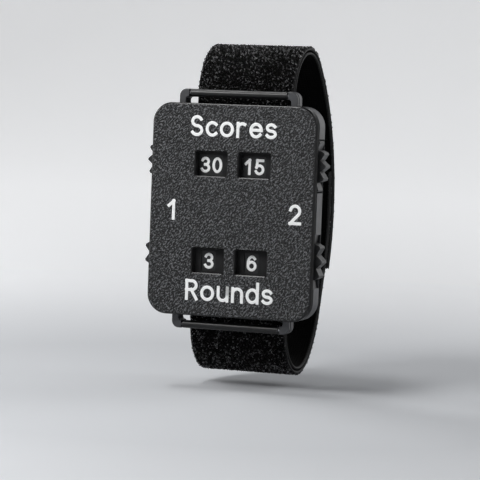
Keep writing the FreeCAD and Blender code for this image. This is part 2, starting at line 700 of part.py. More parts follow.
def make_bar_tip(end_name, end, side_name, side):
    """A sprung tip: a pin into the lug and a flange behind the tube's lip."""
    name = f"{end_name}_bar_tip_{side_name}"
    place = (at_depth("bar_depth"), f"{end} * ({CASE_TOP} + bar_level)")
    outer_end = f"({LUG_INNER} - stub_length + lug_hole_depth - tip_end_gap)"
    flange_end = "(bar_length / 2 - bar_lip - tip_end_gap)"
    flange_start = f"({flange_end} - tip_flange)"
    pin_start = flange_start if side > 0 else f"-{outer_end}"
    flange_low = flange_start if side > 0 else f"-{flange_end}"
    shank = rod(name + "_pin", ALONG_X, "tip_pin_radius", f"{outer_end} - {flange_start}", pin_start, *place)
    flange = rod(name + "_flange", ALONG_X, "tip_flange_radius", "tip_flange", flange_low, *place)
    return joined(name, [shank, flange])


def make_bar_spring(end_name, end):
    """The coil that pushes the two tips apart: a round wire on arcs of a quarter turn."""
    half = value("bar_length / 2 - bar_lip - 2 * tip_end_gap - tip_flange - coil_wire")
    radius = value("coil_radius")
    y = value(at_depth("bar_depth"))
    z = value(f"{end} * ({CASE_TOP} + bar_level)")

    def on_coil(turn):
        """A point of the helix, by the number of turns from its left end."""
        angle = 2 * math.pi * turn
        x = half * (2 * turn / COIL_TURNS - 1)
        return FreeCAD.Vector(x, y + radius * math.cos(angle), z + radius * math.sin(angle))

    arcs = [
        Part.Arc(on_coil(quarter / 4), on_coil((quarter + 0.5) / 4), on_coil((quarter + 1) / 4)).toShape()
        for quarter in range(4 * COIL_TURNS)
    ]
    path = Part.Wire(arcs)
    start = arcs[0]
    section = Part.Circle(start.firstVertex().Point, start.tangentAt(start.FirstParameter), value("coil_wire"))
    pipe = Part.BRepOffsetAPI.MakePipeShell(path)
    pipe.add(Part.Wire(section.toShape()))
    pipe.build()
    pipe.makeSolid()
    spring = doc.addObject("Part::Feature", f"{end_name}_bar_spring")
    spring.Shape = pipe.shape()
    spring.Placement = FreeCAD.Placement()
    return spring


# Strap

class StrapLoop:
    """The strap's outer line: straight behind the case, two crowns and a shallow back arc.

    The line runs up the back from the tab's root, over the top, down behind the case, round the
    bottom and up again on an inner track that the free tab covers. It always turns left, so a
    layer inside it is the same line with smaller arcs.
    """

    def __init__(self):
        front = value("case_depth + strap_gap") - value(STACK)
        crown = value("crown_radius")
        half_run = value("strap_run / 2")
        past_crown = value("loop_depth - crown_radius")
        square = past_crown ** 2 + half_run ** 2 - crown ** 2
        self.back = square / (2 * (past_crown - crown))
        self.centre_y = front + value("loop_depth") - self.back
        self.meet = math.asin(half_run / (self.back - crown))
        self.inner = self.back - value(f"{STRAP_THICKNESS} + hook_thickness + hook_gap")
        self.tab_root = math.asin(value("tab_root_level") / self.back)
        self.tab_end = math.asin(value("tab_end_level") / self.back)
        self.inner_end = math.asin(value("inner_end_level") / self.inner)
        bend = value("tuck_radius")
        tuck = math.acos((self.inner - bend) / (self.back - bend))
        crown_turn = math.pi - self.meet
        self.whole = (
            (self.back, self.meet - self.tab_root),
            (crown, crown_turn),
            (None, value("strap_run")),
            (crown, crown_turn),
            (bend, tuck),
            (None, (self.back - bend) * math.sin(tuck)),
            (self.inner, self.inner_end + self.meet - tuck),
        )
        self.tab = ((self.back, self.tab_root - self.tab_end),)

    def trace(self, angle, steps, inset, left_edge):
        """The edges of the line, moved inwards by inset, from a place on the back arc."""
        point = FreeCAD.Vector(
            left_edge,
            self.centre_y + (self.back - inset) * math.cos(angle),
            (self.back - inset) * math.sin(angle),
        )
        heading = angle + math.pi / 2
        edges = []
        for radius, amount in steps:
            if radius is None:
                end = point + FreeCAD.Vector(0, math.cos(heading), math.sin(heading)) * amount
                edges.append(Part.LineSegment(point, end).toShape())
            else:
                reach = radius - inset
                centre = point + FreeCAD.Vector(0, -math.sin(heading), math.cos(heading)) * reach
                middle, end = (
                    centre + FreeCAD.Vector(0, math.sin(turned), -math.cos(turned)) * reach
                    for turned in (heading + amount / 2, heading + amount)
                )
                edges.append(Part.Arc(point, middle, end).toShape())
                heading += amount
            point = end
        return edges

    def layer(self, label, angle, steps, outer, inner, width):
        """A layer of the strap between two insets, across a width."""
        left_edge = -value(width) / 2
        outside = self.trace(angle, steps, value(outer), left_edge)
        inside = self.trace(angle, steps, value(inner), left_edge)
        caps = [
            Part.LineSegment(outside[0].firstVertex().Point, inside[0].firstVertex().Point).toShape(),
            Part.LineSegment(outside[-1].lastVertex().Point, inside[-1].lastVertex().Point).toShape(),
        ]
        rim = Part.Wire(Part.__sortEdges__(outside + inside + caps))
        item = doc.addObject("Part::Feature", label)
        item.Shape = Part.Face(rim).extrude(X_AXIS * value(width))
        item.Placement = FreeCAD.Placement()
        return item


def make_strap():
    """The strap's pile and lining, the same two layers of its free tab, and the hook tape."""
    loop = StrapLoop()
    margin = value("hook_margin") / loop.inner
    hook_start = loop.tab_end + margin
    hook = ((loop.back, loop.inner_end - margin - hook_start),)
    return [
        loop.layer("strap_pile", loop.tab_root, loop.whole, "0", "pile_thickness", "strap_width"),
        loop.layer("strap_lining", loop.tab_root, loop.whole, "pile_thickness", STRAP_THICKNESS,
                   "strap_width"),
        loop.layer("tab_pile", loop.tab_end, loop.tab, "0", "pile_thickness", "strap_width"),
        loop.layer("tab_lining", loop.tab_end, loop.tab, "pile_thickness", STRAP_THICKNESS,
                   "strap_width"),
        loop.layer("hook_patch", hook_start, hook, STRAP_THICKNESS,
                   f"{STRAP_THICKNESS} + hook_thickness", "strap_width - 2 * hook_margin"),
    ]


# Assembly

pieces = [make_front_cover(), make_rear_case(), make_axle_pins(), make_case_screws()]
for row_name, side_name, side, level, teeth, steps in each_wheel():
    pieces.append(make_wheel(f"{row_name}_wheel_{side_name}", side, level, teeth, steps))
    pieces.append(make_detent(row_name, side_name, side, level))
for end_name, end in ENDS:
    pieces.append(make_bar_tube(end_name, end))
    pieces.append(make_bar_spring(end_name, end))
    for side_name, side in SIDES:
        pieces.append(make_bar_tip(end_name, end, side_name, side))
pieces.extend(make_strap())
doc.recompute()

failed = [item.Name for item in doc.Objects if {"Invalid", "Error"} & set(item.State)]
if failed:
    raise RuntimeError("features that failed: " + ", ".join(failed))
for piece in pieces:
    if piece.Shape.isNull() or not piece.Shape.isValid():
        raise RuntimeError("no valid solid in " + piece.Label)

os.makedirs("parts", exist_ok=True)
for piece in pieces:
    piece.Shape.exportStep(f"parts/{piece.Label}.step")
    print(piece.Label, len(piece.Shape.Solids), round(piece.Shape.Volume, 3))
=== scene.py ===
"""Looks of a wrist-worn score counter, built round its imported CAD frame.

Lengths are millimetres until a mesh is made, and metres after that. The front of the case faces -Y,
+Z is up the case and +X is to the right seen from the front.
"""

import json
import logging
import math
from dataclasses import dataclass
from enum import Enum
from typing import Any, NamedTuple

import bpy
import numpy as np
from mathutils import Matrix, Vector


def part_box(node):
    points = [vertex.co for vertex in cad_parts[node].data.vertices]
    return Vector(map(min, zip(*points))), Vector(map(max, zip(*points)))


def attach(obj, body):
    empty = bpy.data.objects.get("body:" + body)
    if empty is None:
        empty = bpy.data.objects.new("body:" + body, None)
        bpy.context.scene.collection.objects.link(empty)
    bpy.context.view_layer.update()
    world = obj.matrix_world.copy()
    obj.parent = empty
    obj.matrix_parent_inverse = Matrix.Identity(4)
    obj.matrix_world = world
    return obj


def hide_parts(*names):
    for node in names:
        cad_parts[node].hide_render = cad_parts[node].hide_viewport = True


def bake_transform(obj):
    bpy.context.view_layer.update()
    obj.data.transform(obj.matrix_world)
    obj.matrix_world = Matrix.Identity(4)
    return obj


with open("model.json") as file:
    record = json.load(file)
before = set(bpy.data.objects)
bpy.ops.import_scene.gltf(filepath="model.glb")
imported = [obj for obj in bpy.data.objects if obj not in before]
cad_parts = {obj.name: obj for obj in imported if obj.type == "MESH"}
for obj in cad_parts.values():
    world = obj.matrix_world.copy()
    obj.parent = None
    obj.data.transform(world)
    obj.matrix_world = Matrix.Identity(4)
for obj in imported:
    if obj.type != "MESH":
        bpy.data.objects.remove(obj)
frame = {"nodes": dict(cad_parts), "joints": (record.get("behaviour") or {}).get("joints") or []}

LOG = logging.getLogger("score_counter")
MM = 0.001
# A wave texture of scale 1 repeats after this length
WAVE_LENGTH = math.pi / 10


class Side(Enum):
    """The two sides of the case, seen from the front."""

    LEFT = -1
    RIGHT = 1

    @property
    def word(self) -> str:
        """The side's word in the names of nodes."""
        return self.name.lower()


class End(Enum):
    """The two ends of the case."""

    TOP = 1
    BOTTOM = -1

    @property
    def word(self) -> str:
        """The end's word in the names of nodes."""
        return self.name.lower()


# Colours, nodes and meshes

def linear(code: str) -> tuple[float, float, float, float]:
    """Turn an sRGB hex colour into linear light.

    Args:
        code: colour as six hex digits after a hash sign.

    Returns:
        Linear red, green and blue, with an alpha of 1.
    """
    parts = np.array([int(code[at:at + 2], 16) for at in (1, 3, 5)]) / 255
    light = np.where(parts <= 0.04045, parts / 12.92, ((parts + 0.055) / 1.055) ** 2.4)
    return (float(light[0]), float(light[1]), float(light[2]), 1.0)


def per_metre(size_mm: float) -> float:
    """Give a texture scale whose features are about the given size in millimetres."""
    return 1 / (size_mm * MM)


def add_node(tree: bpy.types.NodeTree, kind: str, inputs: dict[str | int, Any] | None = None,
             **settings: Any) -> bpy.types.Node:
    """Add a node with its settings, values and links.

    Args:
        tree: tree that takes the node.
        kind: the node's type.
        inputs: a value, or an output socket to link, for each input by name or number.
        settings: the node's own properties.

    Returns:
        The new node.
    """
    node = tree.nodes.new(kind)
    for name, setting in settings.items():
        setattr(node, name, setting)
    for key, given in (inputs or {}).items():
        if isinstance(given, bpy.types.NodeSocket):
            tree.links.new(given, node.inputs[key])
        else:
            node.inputs[key].default_value = given
    return node


def put_mesh(name: str, points: np.ndarray, faces: np.ndarray, smooth: bool = True) -> bpy.types.Object:
    """Make a mesh object at the origin.

    Args:
        name: name of the piece.
        points: corner places in millimetres, one row each.
        faces: corner numbers, one row for each face, all with as many corners.
        smooth: whether the faces are shaded as one smooth surface.

    Returns:
        The new object, linked to the scene.
    """
    mesh = bpy.data.meshes.new(name)
    mesh.vertices.add(len(points))
    mesh.vertices.foreach_set("co", (points * MM).astype(np.float32).ravel())
    mesh.loops.add(faces.size)
    mesh.loops.foreach_set("vertex_index", faces.astype(np.int32).ravel())
    mesh.polygons.add(len(faces))
    mesh.polygons.foreach_set("loop_start", np.arange(0, faces.size, faces.shape[1], dtype=np.int32))
    mesh.polygons.foreach_set("use_smooth", np.full(len(faces), smooth))
    mesh.update()
    mesh.validate()
    piece = bpy.data.objects.new(name, mesh)
    bpy.context.scene.collection.objects.link(piece)
    return piece


def grid_faces(rows: int, columns: int, closed: bool = False) -> np.ndarray:
    """Number the quads of a grid whose points run along each row in turn.

    Args:
        rows: rows of points.
        columns: points in each row.
        closed: whether the last column joins the first.

    Returns:
        Four corner numbers for each quad.
    """
    row, column = np.meshgrid(np.arange(rows - 1), np.arange(columns if closed else columns - 1),
                              indexing="ij")
    after = (column + 1) % columns
    here, there = row * columns, (row + 1) * columns
    return np.stack([here + column, here + after, there + after, there + column], -1).reshape(-1, 4)


def tube_faces(rows: int, columns: int) -> np.ndarray:
    """Number the quads of a tube, whose rows are rings, and those that close its two ends.

    An end is closed by strips between the points that lie across the ring from each other.

    Args:
        rows: rings along the tube.
        columns: points in each ring, an even number.

    Returns:
        Four corner numbers for each quad.
    """
    here = np.arange(columns // 2 - 1)
    start = np.stack([here, columns - 1 - here, columns - 2 - here, here + 1], -1)
    end = (rows - 1) * columns + start[:, ::-1]
    return np.concatenate([grid_faces(rows, columns, closed=True), start, end])


def set_attribute(piece: bpy.types.Object, name: str, numbers: np.ndarray) -> None:
    """Store one number for each point of a piece's mesh."""
    store = piece.data.attributes.new(name, "FLOAT", "POINT")
    store.data.foreach_set("value", numbers.astype(np.float32))


def set_uv(piece: bpy.types.Object, across: np.ndarray, along: np.ndarray) -> None:
    """Give a piece a UV map from two numbers for each point of its mesh."""
    layer = piece.data.uv_layers.new(name="UVMap")
    corners = np.empty(len(piece.data.loops), dtype=np.int32)
    piece.data.loops.foreach_get("vertex_index", corners)
    layer.uv.foreach_set("vector", np.stack([across, along], -1)[corners].astype(np.float32).ravel())


# Finishes

@dataclass(frozen=True)
class Finish:
    """A material: its common name, its colour and its shader numbers.

    Its pattern goes from colour to colour at the stops, and its bump has the share relief.
    """

    name: str
    colour: str
    roughness: float
    ior: float = 1.5
    metallic: float = 0.0
    gloss: float = 0.5
    stops: tuple[float, ...] = (0.3, 0.7)
    relief: float = 1.0

    def make(self) -> bpy.types.Material:
        """Make the material with its uniform numbers on the shader, then its pattern.

        Returns:
            The finished material.
        """
        material = bpy.data.materials.new(self.name)
        material.use_nodes = True
        tree = material.node_tree
        tree.nodes.clear()
        shader = add_node(tree, "ShaderNodeBsdfPrincipled", {
            "Base Color": linear(self.colour), "Roughness": self.roughness, "Metallic": self.metallic,
            "Specular IOR Level": self.gloss,
        })
        if not self.metallic:
            shader.inputs["IOR"].default_value = self.ior
        add_node(tree, "ShaderNodeOutputMaterial", {"Surface": shader.outputs["BSDF"]})
        self.dress(tree, shader)
        return material

    def dress(self, tree: bpy.types.NodeTree, shader: bpy.types.Node) -> None:
        """Add the finish's own pattern to its shader."""
        raise NotImplementedError

    def bump(self, tree: bpy.types.NodeTree, shader: bpy.types.Node, height: bpy.types.NodeSocket,
             depth_mm: float, strength: float | bpy.types.NodeSocket) -> None:
        """Raise the surface by a height pattern.

        Args:
            tree: the material's nodes.
            shader: shader whose normal is bent.
            height: pattern from 0 to 1.
            depth_mm: how far 1 stands above 0.
            strength: share of the bump that is used, or a pattern of it.
        """
        add = add_node(tree, "ShaderNodeBump", {"Height": height, "Distance": depth_mm * MM,
                                               "Strength": strength})
        tree.links.new(add.outputs["Normal"], shader.inputs["Normal"])

    def tone(self, tree: bpy.types.NodeTree, shader: bpy.types.Node, amount: bpy.types.NodeSocket,
             *codes: str) -> bpy.types.NodeSocket:
        """Colour the surface by a pattern.

        Args:
            tree: the material's nodes.
            shader: shader that takes the colour.
            amount: pattern from 0 to 1.
            codes: the colour at each of the finish's stops.

        Returns:
            The pattern's colour.
        """
        ramp = add_node(tree, "ShaderNodeValToRGB", {"Fac": amount})
        elements = ramp.color_ramp.elements
        while len(elements) < len(codes):
            elements.new(0.5)
        for element, place, code in zip(elements, self.stops, codes):
            element.position = place
            element.color = linear(code)
        tree.links.new(ramp.outputs["Color"], shader.inputs["Base Color"])
        return ramp.outputs["Color"]


@dataclass(frozen=True)
class GrainedPlastic(Finish):
    """Moulded ABS with an eroded pebble grain on its front, whose uneven bumps catch points of light.

    The grain's colour is painted light: its tops are painted lighter as highlights and its pits darker as
    painted shadow. The bevels, which the grain leaves out, are smooth, and the flanks of the mould are
    matt; both take a plain colour darker than the face, painted shadow.
    """

    pebble_mm: float = 0.34
    ridge_mm: float = 0.66
    pebble_rise: float = 2.0
    ridge_rise: float = 0.42
    middle: float = 0.47
    pebble_twist: float = 0.4
    ridge_twist: float = 12.0
    stops: tuple[float, ...] = (0.3, 0.53, 0.82)
    front_facing: tuple[float, float] = (-0.85, -0.97)
    flank_facing: tuple[float, float] = (0.6, 0.9)
    depth_mm: float = 0.24
    lie: float = math.radians(-50)
    stretch: float = 1.6
    # Painted light on the grain: its pits are painted darker as shadow and its tops lighter as
    # highlights, and the flanks and bevels take the plain side colour, painted darker as shadow.
    dark: str = "#060607"
    light: str = "#646567"
    side: str = "#0d0d0e"
    bevel_roughness: float = 0.24
    flank_roughness: float = 0.9

    def dress(self, tree: bpy.types.NodeTree, shader: bpy.types.Node) -> None:
        """Lay pebbles drawn out along one diagonal, on faint broken ridges that lie the same way."""
        source = add_node(tree, "ShaderNodeTexCoord")
        place = add_node(tree, "ShaderNodeMapping", {
            "Vector": source.outputs["Object"], "Rotation": (0.0, self.lie, 0.0),
            "Scale": (self.stretch, 1.0, 1.0)}, vector_type="TEXTURE").outputs["Vector"]
        facing = add_node(tree, "ShaderNodeSeparateXYZ", {"Vector": source.outputs["Normal"]})
        front = add_node(tree, "ShaderNodeMapRange", {
            "Value": facing.outputs["Y"], "From Min": self.front_facing[0],
            "From Max": self.front_facing[1]})
        ridges = add_node(tree, "ShaderNodeTexWave", {
            "Vector": place, "Scale": WAVE_LENGTH * per_metre(self.ridge_mm),
            "Distortion": self.ridge_twist, "Detail": 2.0, "Detail Scale": 2.0, "Detail Roughness": 0.6},
            wave_type="BANDS", bands_direction="Z")
        pebbles = add_node(tree, "ShaderNodeTexNoise", {
            "Vector": place, "Scale": per_metre(self.pebble_mm), "Detail": 0.0,
            "Distortion": self.pebble_twist})
        rise = add_node(tree, "ShaderNodeMath", {
            0: ridges.outputs["Fac"], 1: self.ridge_rise,
            2: self.middle - (self.pebble_rise + self.ridge_rise) / 2}, operation="MULTIPLY_ADD")
        height = add_node(tree, "ShaderNodeMath", {
            0: pebbles.outputs["Fac"], 1: self.pebble_rise, 2: rise.outputs["Value"]},
            operation="MULTIPLY_ADD", use_clamp=True)
        self.bump(tree, shader, height.outputs["Value"], self.depth_mm, front.outputs["Result"])
        # Painted light: the grain's tone runs from painted shadow in the pits to painted highlights on
        # the tops, and off the front the flat side colour is painted darker as shadow.
        grain = self.tone(tree, shader, height.outputs["Value"], self.dark, self.colour, self.light)
        mixed = add_node(tree, "ShaderNodeMix", {
            "Factor": front.outputs["Result"], "A": linear(self.side), "B": grain}, data_type="RGBA")
        tree.links.new(mixed.outputs["Result"], shader.inputs["Base Color"])
        flank = add_node(tree, "ShaderNodeMath", {0: facing.outputs["X"]}, operation="ABSOLUTE")
        edge = add_node(tree, "ShaderNodeMapRange", {
            "Value": flank.outputs["Value"], "From Min": self.flank_facing[0],
            "From Max": self.flank_facing[1], "To Min": self.bevel_roughness,
            "To Max": self.flank_roughness})
        shine = add_node(tree, "ShaderNodeMapRange", {
            "Value": front.outputs["Result"], "To Min": edge.outputs["Result"], "To Max": self.roughness})
        tree.links.new(shine.outputs["Result"], shader.inputs["Roughness"])


@dataclass(frozen=True)
class SatinPlastic(Finish):
    """Plain moulded plastic: a fine satin skin with faint flow marks and rubbed patches."""

    skin_mm: float = 0.16
    depth_mm: float = 0.006
    patch_mm: float = 4.0
    stops: tuple[float, ...] = (0.35, 0.75)
    rubbed: str = "#34353a"
    rub: float = 0.05
    rub_span: tuple[float, float] = (0.3, 0.7)

    def dress(self, tree: bpy.types.NodeTree, shader: bpy.types.Node) -> None:
        """Add the fine skin, and broad patches a little lighter and smoother."""
        place = add_node(tree, "ShaderNodeTexCoord").outputs["Object"]
        skin = add_node(tree, "ShaderNodeTexNoise", {
            "Vector": place, "Scale": per_metre(self.skin_mm), "Detail": 2.0})
        patches = add_node(tree, "ShaderNodeTexNoise", {
            "Vector": place, "Scale": per_metre(self.patch_mm), "Detail": 4.0, "Roughness": 0.65})
        self.bump(tree, shader, skin.outputs["Fac"], self.depth_mm, self.relief)
        self.tone(tree, shader, patches.outputs["Fac"], self.colour, self.rubbed)
        shine = add_node(tree, "ShaderNodeMapRange", {
            "Value": patches.outputs["Fac"], "From Min": self.rub_span[0], "From Max": self.rub_span[1],
            "To Min": self.roughness + self.rub, "To Max": self.roughness - self.rub})
        tree.links.new(shine.outputs["Result"], shader.inputs["Roughness"])


@dataclass(frozen=True)
class DrawnMetal(Finish):
    """Drawn or turned metal: fine lines along the wire, and a film that dulls it in places."""

    line_mm: float = 0.08
    depth_mm: float = 0.004
    haze_mm: float = 1.5
    relief: float = 0.7
    along: tuple[float, float, float] = (0.05, 1.0, 1.0)
    film: str = "#8d9095"

    def dress(self, tree: bpy.types.NodeTree, shader: bpy.types.Node) -> None:
        """Stretch a noise along the drawing direction for the lines, and add the film."""
        place = add_node(tree, "ShaderNodeTexCoord").outputs["Object"]
        stretched = add_node(tree, "ShaderNodeMapping", {"Vector": place, "Scale": self.along})
        lines = add_node(tree, "ShaderNodeTexNoise", {
            "Vector": stretched.outputs["Vector"], "Scale": per_metre(self.line_mm), "Detail": 2.0})
        haze = add_node(tree, "ShaderNodeTexNoise", {
            "Vector": place, "Scale": per_metre(self.haze_mm), "Detail": 3.0})
        self.bump(tree, shader, lines.outputs["Fac"], self.depth_mm, self.relief)
        self.tone(tree, shader, haze.outputs["Fac"], self.film, self.colour)


@dataclass(frozen=True)
class LoopYarn(Finish):
    """Black nylon yarn of a brushed loop pile: glossy filaments, with a few random loops painted pale as
    glints.
    """

    # The pale grey is painted light: glints of light on the few loops that carry it.
    pale: str = "#8e8e8f"
    stops: tuple[float, ...] = (0.1, 0.9)
    strand_mm: float = 0.12
    depth_mm: float = 0.03
    relief: float = 0.6

    def dress(self, tree: bpy.types.NodeTree, shader: bpy.types.Node) -> None:
        """Read the painted glint that each loop carries, and add the filaments as a fine bump."""
        shade = add_node(tree, "ShaderNodeAttribute", attribute_name="shade")
        place = add_node(tree, "ShaderNodeTexCoord").outputs["Object"]
        strands = add_node(tree, "ShaderNodeTexNoise", {
            "Vector": place, "Scale": per_metre(self.strand_mm), "Detail": 2.0})
        self.tone(tree, shader, shade.outputs["Fac"], self.colour, self.pale)
        self.bump(tree, shader, strands.outputs["Fac"], self.depth_mm, self.relief)


@dataclass(frozen=True)
class KnitCloth(Finish):
    """Knitted nylon: rows of small stitches along the strap, matt with a soft sheen.

    The stitches are drawn about twice as coarse as real ones, because those are too fine to show.
    """

    stitch_mm: float = 0.7
    waver: float = 1.2
    fuzz_mm: float = 0.4
    fuzz_rise: float = 0.5
    depth_mm: float = 0.12
    relief: float = 0.8
    stops: tuple[float, ...] = (0.2, 1.0)
    light: str = "#1d1d1f"

    def dress(self, tree: bpy.types.NodeTree, shader: bpy.types.Node) -> None:
        """Cross two waves on the piece's own map, whose unit is one millimetre."""
        cloth = add_node(tree, "ShaderNodeUVMap", uv_map="UVMap").outputs["UV"]
        waves = [
            add_node(tree, "ShaderNodeTexWave", {
                "Vector": cloth, "Scale": WAVE_LENGTH / self.stitch_mm, "Distortion": self.waver,
                "Detail": 1.0, "Detail Scale": 2.0}, wave_type="BANDS", bands_direction=direction)
            for direction in ("X", "Y")
        ]
        weave = add_node(tree, "ShaderNodeMath", {
            0: waves[0].outputs["Fac"], 1: waves[1].outputs["Fac"]}, operation="MULTIPLY")
        fuzz = add_node(tree, "ShaderNodeTexNoise", {
            "Vector": cloth, "Scale": 1 / self.fuzz_mm, "Detail": 4.0})
        height = add_node(tree, "ShaderNodeMath", {
            0: fuzz.outputs["Fac"], 1: self.fuzz_rise, 2: weave.outputs["Value"]},
            operation="MULTIPLY_ADD")
        self.bump(tree, shader, height.outputs["Value"], self.depth_mm, self.relief)
        self.tone(tree, shader, height.outputs["Value"], self.colour, self.light)


@dataclass(frozen=True)
class PrintInk(Finish):
    """White screen ink: opaque, slightly soft, thin enough for the plastic's skin to show in it."""

    grain_mm: float = 0.6
    depth_mm: float = 0.02
    relief: float = 0.8
    stops: tuple[float, ...] = (0.3, 0.5)
    worn: str = "#eceded"

    def dress(self, tree: bpy.types.NodeTree, shader: bpy.types.Node) -> None:
        """Let a faint grain through, and thin the ink a little in places."""
        place = add_node(tree, "ShaderNodeTexCoord").outputs["Object"]
        grain = add_node(tree, "ShaderNodeTexNoise", {
            "Vector": place, "Scale": per_metre(self.grain_mm), "Detail": 3.0})
        self.bump(tree, shader, grain.outputs["Fac"], self.depth_mm, self.relief)
        self.tone(tree, shader, grain.outputs["Fac"], self.worn, self.colour)


FINISHES = {
    "cover": GrainedPlastic("abs_pebble_grain_black", "#121314", 0.42, 1.53, gloss=0.34),
    "case": SatinPlastic("abs_satin_black", "#2a2b2d", 0.48, 1.53),
    "wheel": SatinPlastic("acetal_satin_black", "#19191a", 0.42, 1.48, gloss=0.34, rubbed="#222324"),
    "bar": SatinPlastic("steel_black_lacquer", "#0b0b0c", 0.34, 1.5, gloss=0.36, rubbed="#121213"),
    "steel": DrawnMetal("spring_steel_drawn", "#c6c8cb", 0.32, metallic=1.0),
    "yarn": LoopYarn("nylon_loop_yarn_black", "#020202", 0.4, 1.53, gloss=0.12),
    "ground": KnitCloth("nylon_ground_cloth_black", "#020202", 0.85, 1.53, gloss=0.05, light="#060606"),
    "lining": KnitCloth("nylon_knit_lining_black", "#010101", 0.85, 1.53, gloss=0.05, light="#070707"),
    "hooks": KnitCloth("nylon_hook_tape_black", "#0d0d0e", 0.5, 1.53, stitch_mm=1.0),
    "edge": KnitCloth("nylon_selvedge_black", "#060606", 0.6, 1.53, gloss=0.2, light="#1a1a1b"),
    "card": SatinPlastic("card_matt_black", "#101011", 0.7, 1.5, gloss=0.3, rubbed="#151516"),
    "ink": PrintInk("screen_ink_white", "#f6f6f5", 0.5, 1.5),
}


class Palette:
    """The materials by name, each made once."""

    def __init__(self) -> None:
        """Make every material."""
        self.materials = {name: finish.make() for name, finish in FINISHES.items()}

    def coat(self, piece: bpy.types.Object, name: str) -> None:
        """Give a piece one material in place of those it has."""
        piece.data.materials.clear()
        piece.data.materials.append(self.materials[name])


# Printed lettering

# Degrees between points of an arc, and the fewest points of an arc or a straight
ARC_STEP = 9
FEWEST_POINTS = 6
# Points nearer than this share of a character's height count as one
SAME_PLACE = 1e-6


class Arc(NamedTuple):
    """Part of an ellipse: centre, half width, half height and its angles in degrees."""

    x: float
    y: float
    half_width: float
    half_height: float
    start: float
    end: float

    def sample(self) -> np.ndarray:
        """Points along the arc, from the ellipse's cosine and sine."""
        count = max(FEWEST_POINTS, int(abs(self.end - self.start) / ARC_STEP))
        angle = np.radians(np.linspace(self.start, self.end, count))
        return np.stack([self.x + self.half_width * np.cos(angle),
                         self.y + self.half_height * np.sin(angle)], -1)


class Run(NamedTuple):
    """A straight part of a stroke."""

    x: float
    y: float
    end_x: float
    end_y: float

    def sample(self) -> np.ndarray:
        """Points from one end to the other."""
        return np.linspace((self.x, self.y), (self.end_x, self.end_y), FEWEST_POINTS)


Stroke = tuple[Arc | Run, ...]

# Middle lines of the characters: height 1 for figures and capitals, LOW for small letters, and no
# character takes up less width than NARROWEST
LOW = 0.7
NARROWEST = 0.44
GLYPHS: dict[str, tuple[Stroke, ...]] = {
    "0": ((Arc(0.29, 0.5, 0.29, 0.5, 90, 450),),),
    "1": ((Run(0.3, 0, 0.3, 1),), (Run(0.3, 1, 0.02, 0.74),)),
    "2": ((Arc(0.29, 0.71, 0.28, 0.29, 165, -38),), (Run(0.51, 0.53, 0.02, 0),),
          (Run(0.02, 0, 0.58, 0),)),
    "3": ((Arc(0.26, 0.76, 0.25, 0.24, 155, -90),), (Arc(0.26, 0.26, 0.29, 0.26, 90, -155),)),
    "4": ((Run(0.42, 1, 0, 0.3),), (Run(0, 0.3, 0.6, 0.3),), (Run(0.42, 1, 0.42, 0),)),
    "5": ((Run(0.52, 1, 0.11, 1),), (Run(0.11, 1, 0.05, 0.5),),
          (Arc(0.27, 0.31, 0.29, 0.31, 140, -152),)),
    "6": ((Arc(0.29, 0.3, 0.29, 0.3, 90, 450),),
          (Arc(0.31, 0.5, 0.31, 0.5, 48, 180), Run(0, 0.5, 0, 0.3))),
    "S": ((Arc(0.3, 0.75, 0.27, 0.25, 32, 270), Arc(0.3, 0.25, 0.29, 0.25, 90, -148)),),
    "R": ((Run(0, 0, 0, 1),),
          (Run(0, 1, 0.3, 1), Arc(0.3, 0.75, 0.26, 0.25, 90, -90), Run(0.3, 0.5, 0, 0.5)),
          (Run(0.27, 0.5, 0.58, 0),)),
    "c": ((Arc(0.31, LOW / 2, 0.31, LOW / 2, 48, 312),),),
    "o": ((Arc(0.33, LOW / 2, 0.33, LOW / 2, 90, 450),),),
    "r": ((Run(0, 0, 0, LOW),), (Arc(0.26, LOW - 0.3, 0.26, 0.3, 180, 62),)),
    "e": ((Run(0.03, 0.37, 0.6, 0.37),), (Arc(0.31, LOW / 2, 0.31, LOW / 2, 4, 318),)),
    "s": ((Arc(0.25, 0.525, 0.23, 0.175, 30, 270), Arc(0.25, 0.175, 0.25, 0.175, 90, -150)),),
    "u": ((Run(0, LOW, 0, 0.28), Arc(0.27, 0.28, 0.27, 0.28, 180, 360), Run(0.54, 0.28, 0.54, LOW)),
          (Run(0.54, LOW, 0.54, 0),)),
    "n": ((Run(0, LOW, 0, 0),),
          (Arc(0.27, LOW - 0.28, 0.27, 0.28, 180, 0), Run(0.54, LOW - 0.28, 0.54, 0))),
    "d": ((Arc(0.3, LOW / 2, 0.3, LOW / 2, 0, 360),), (Run(0.6, 1.03, 0.6, 0),)),
}


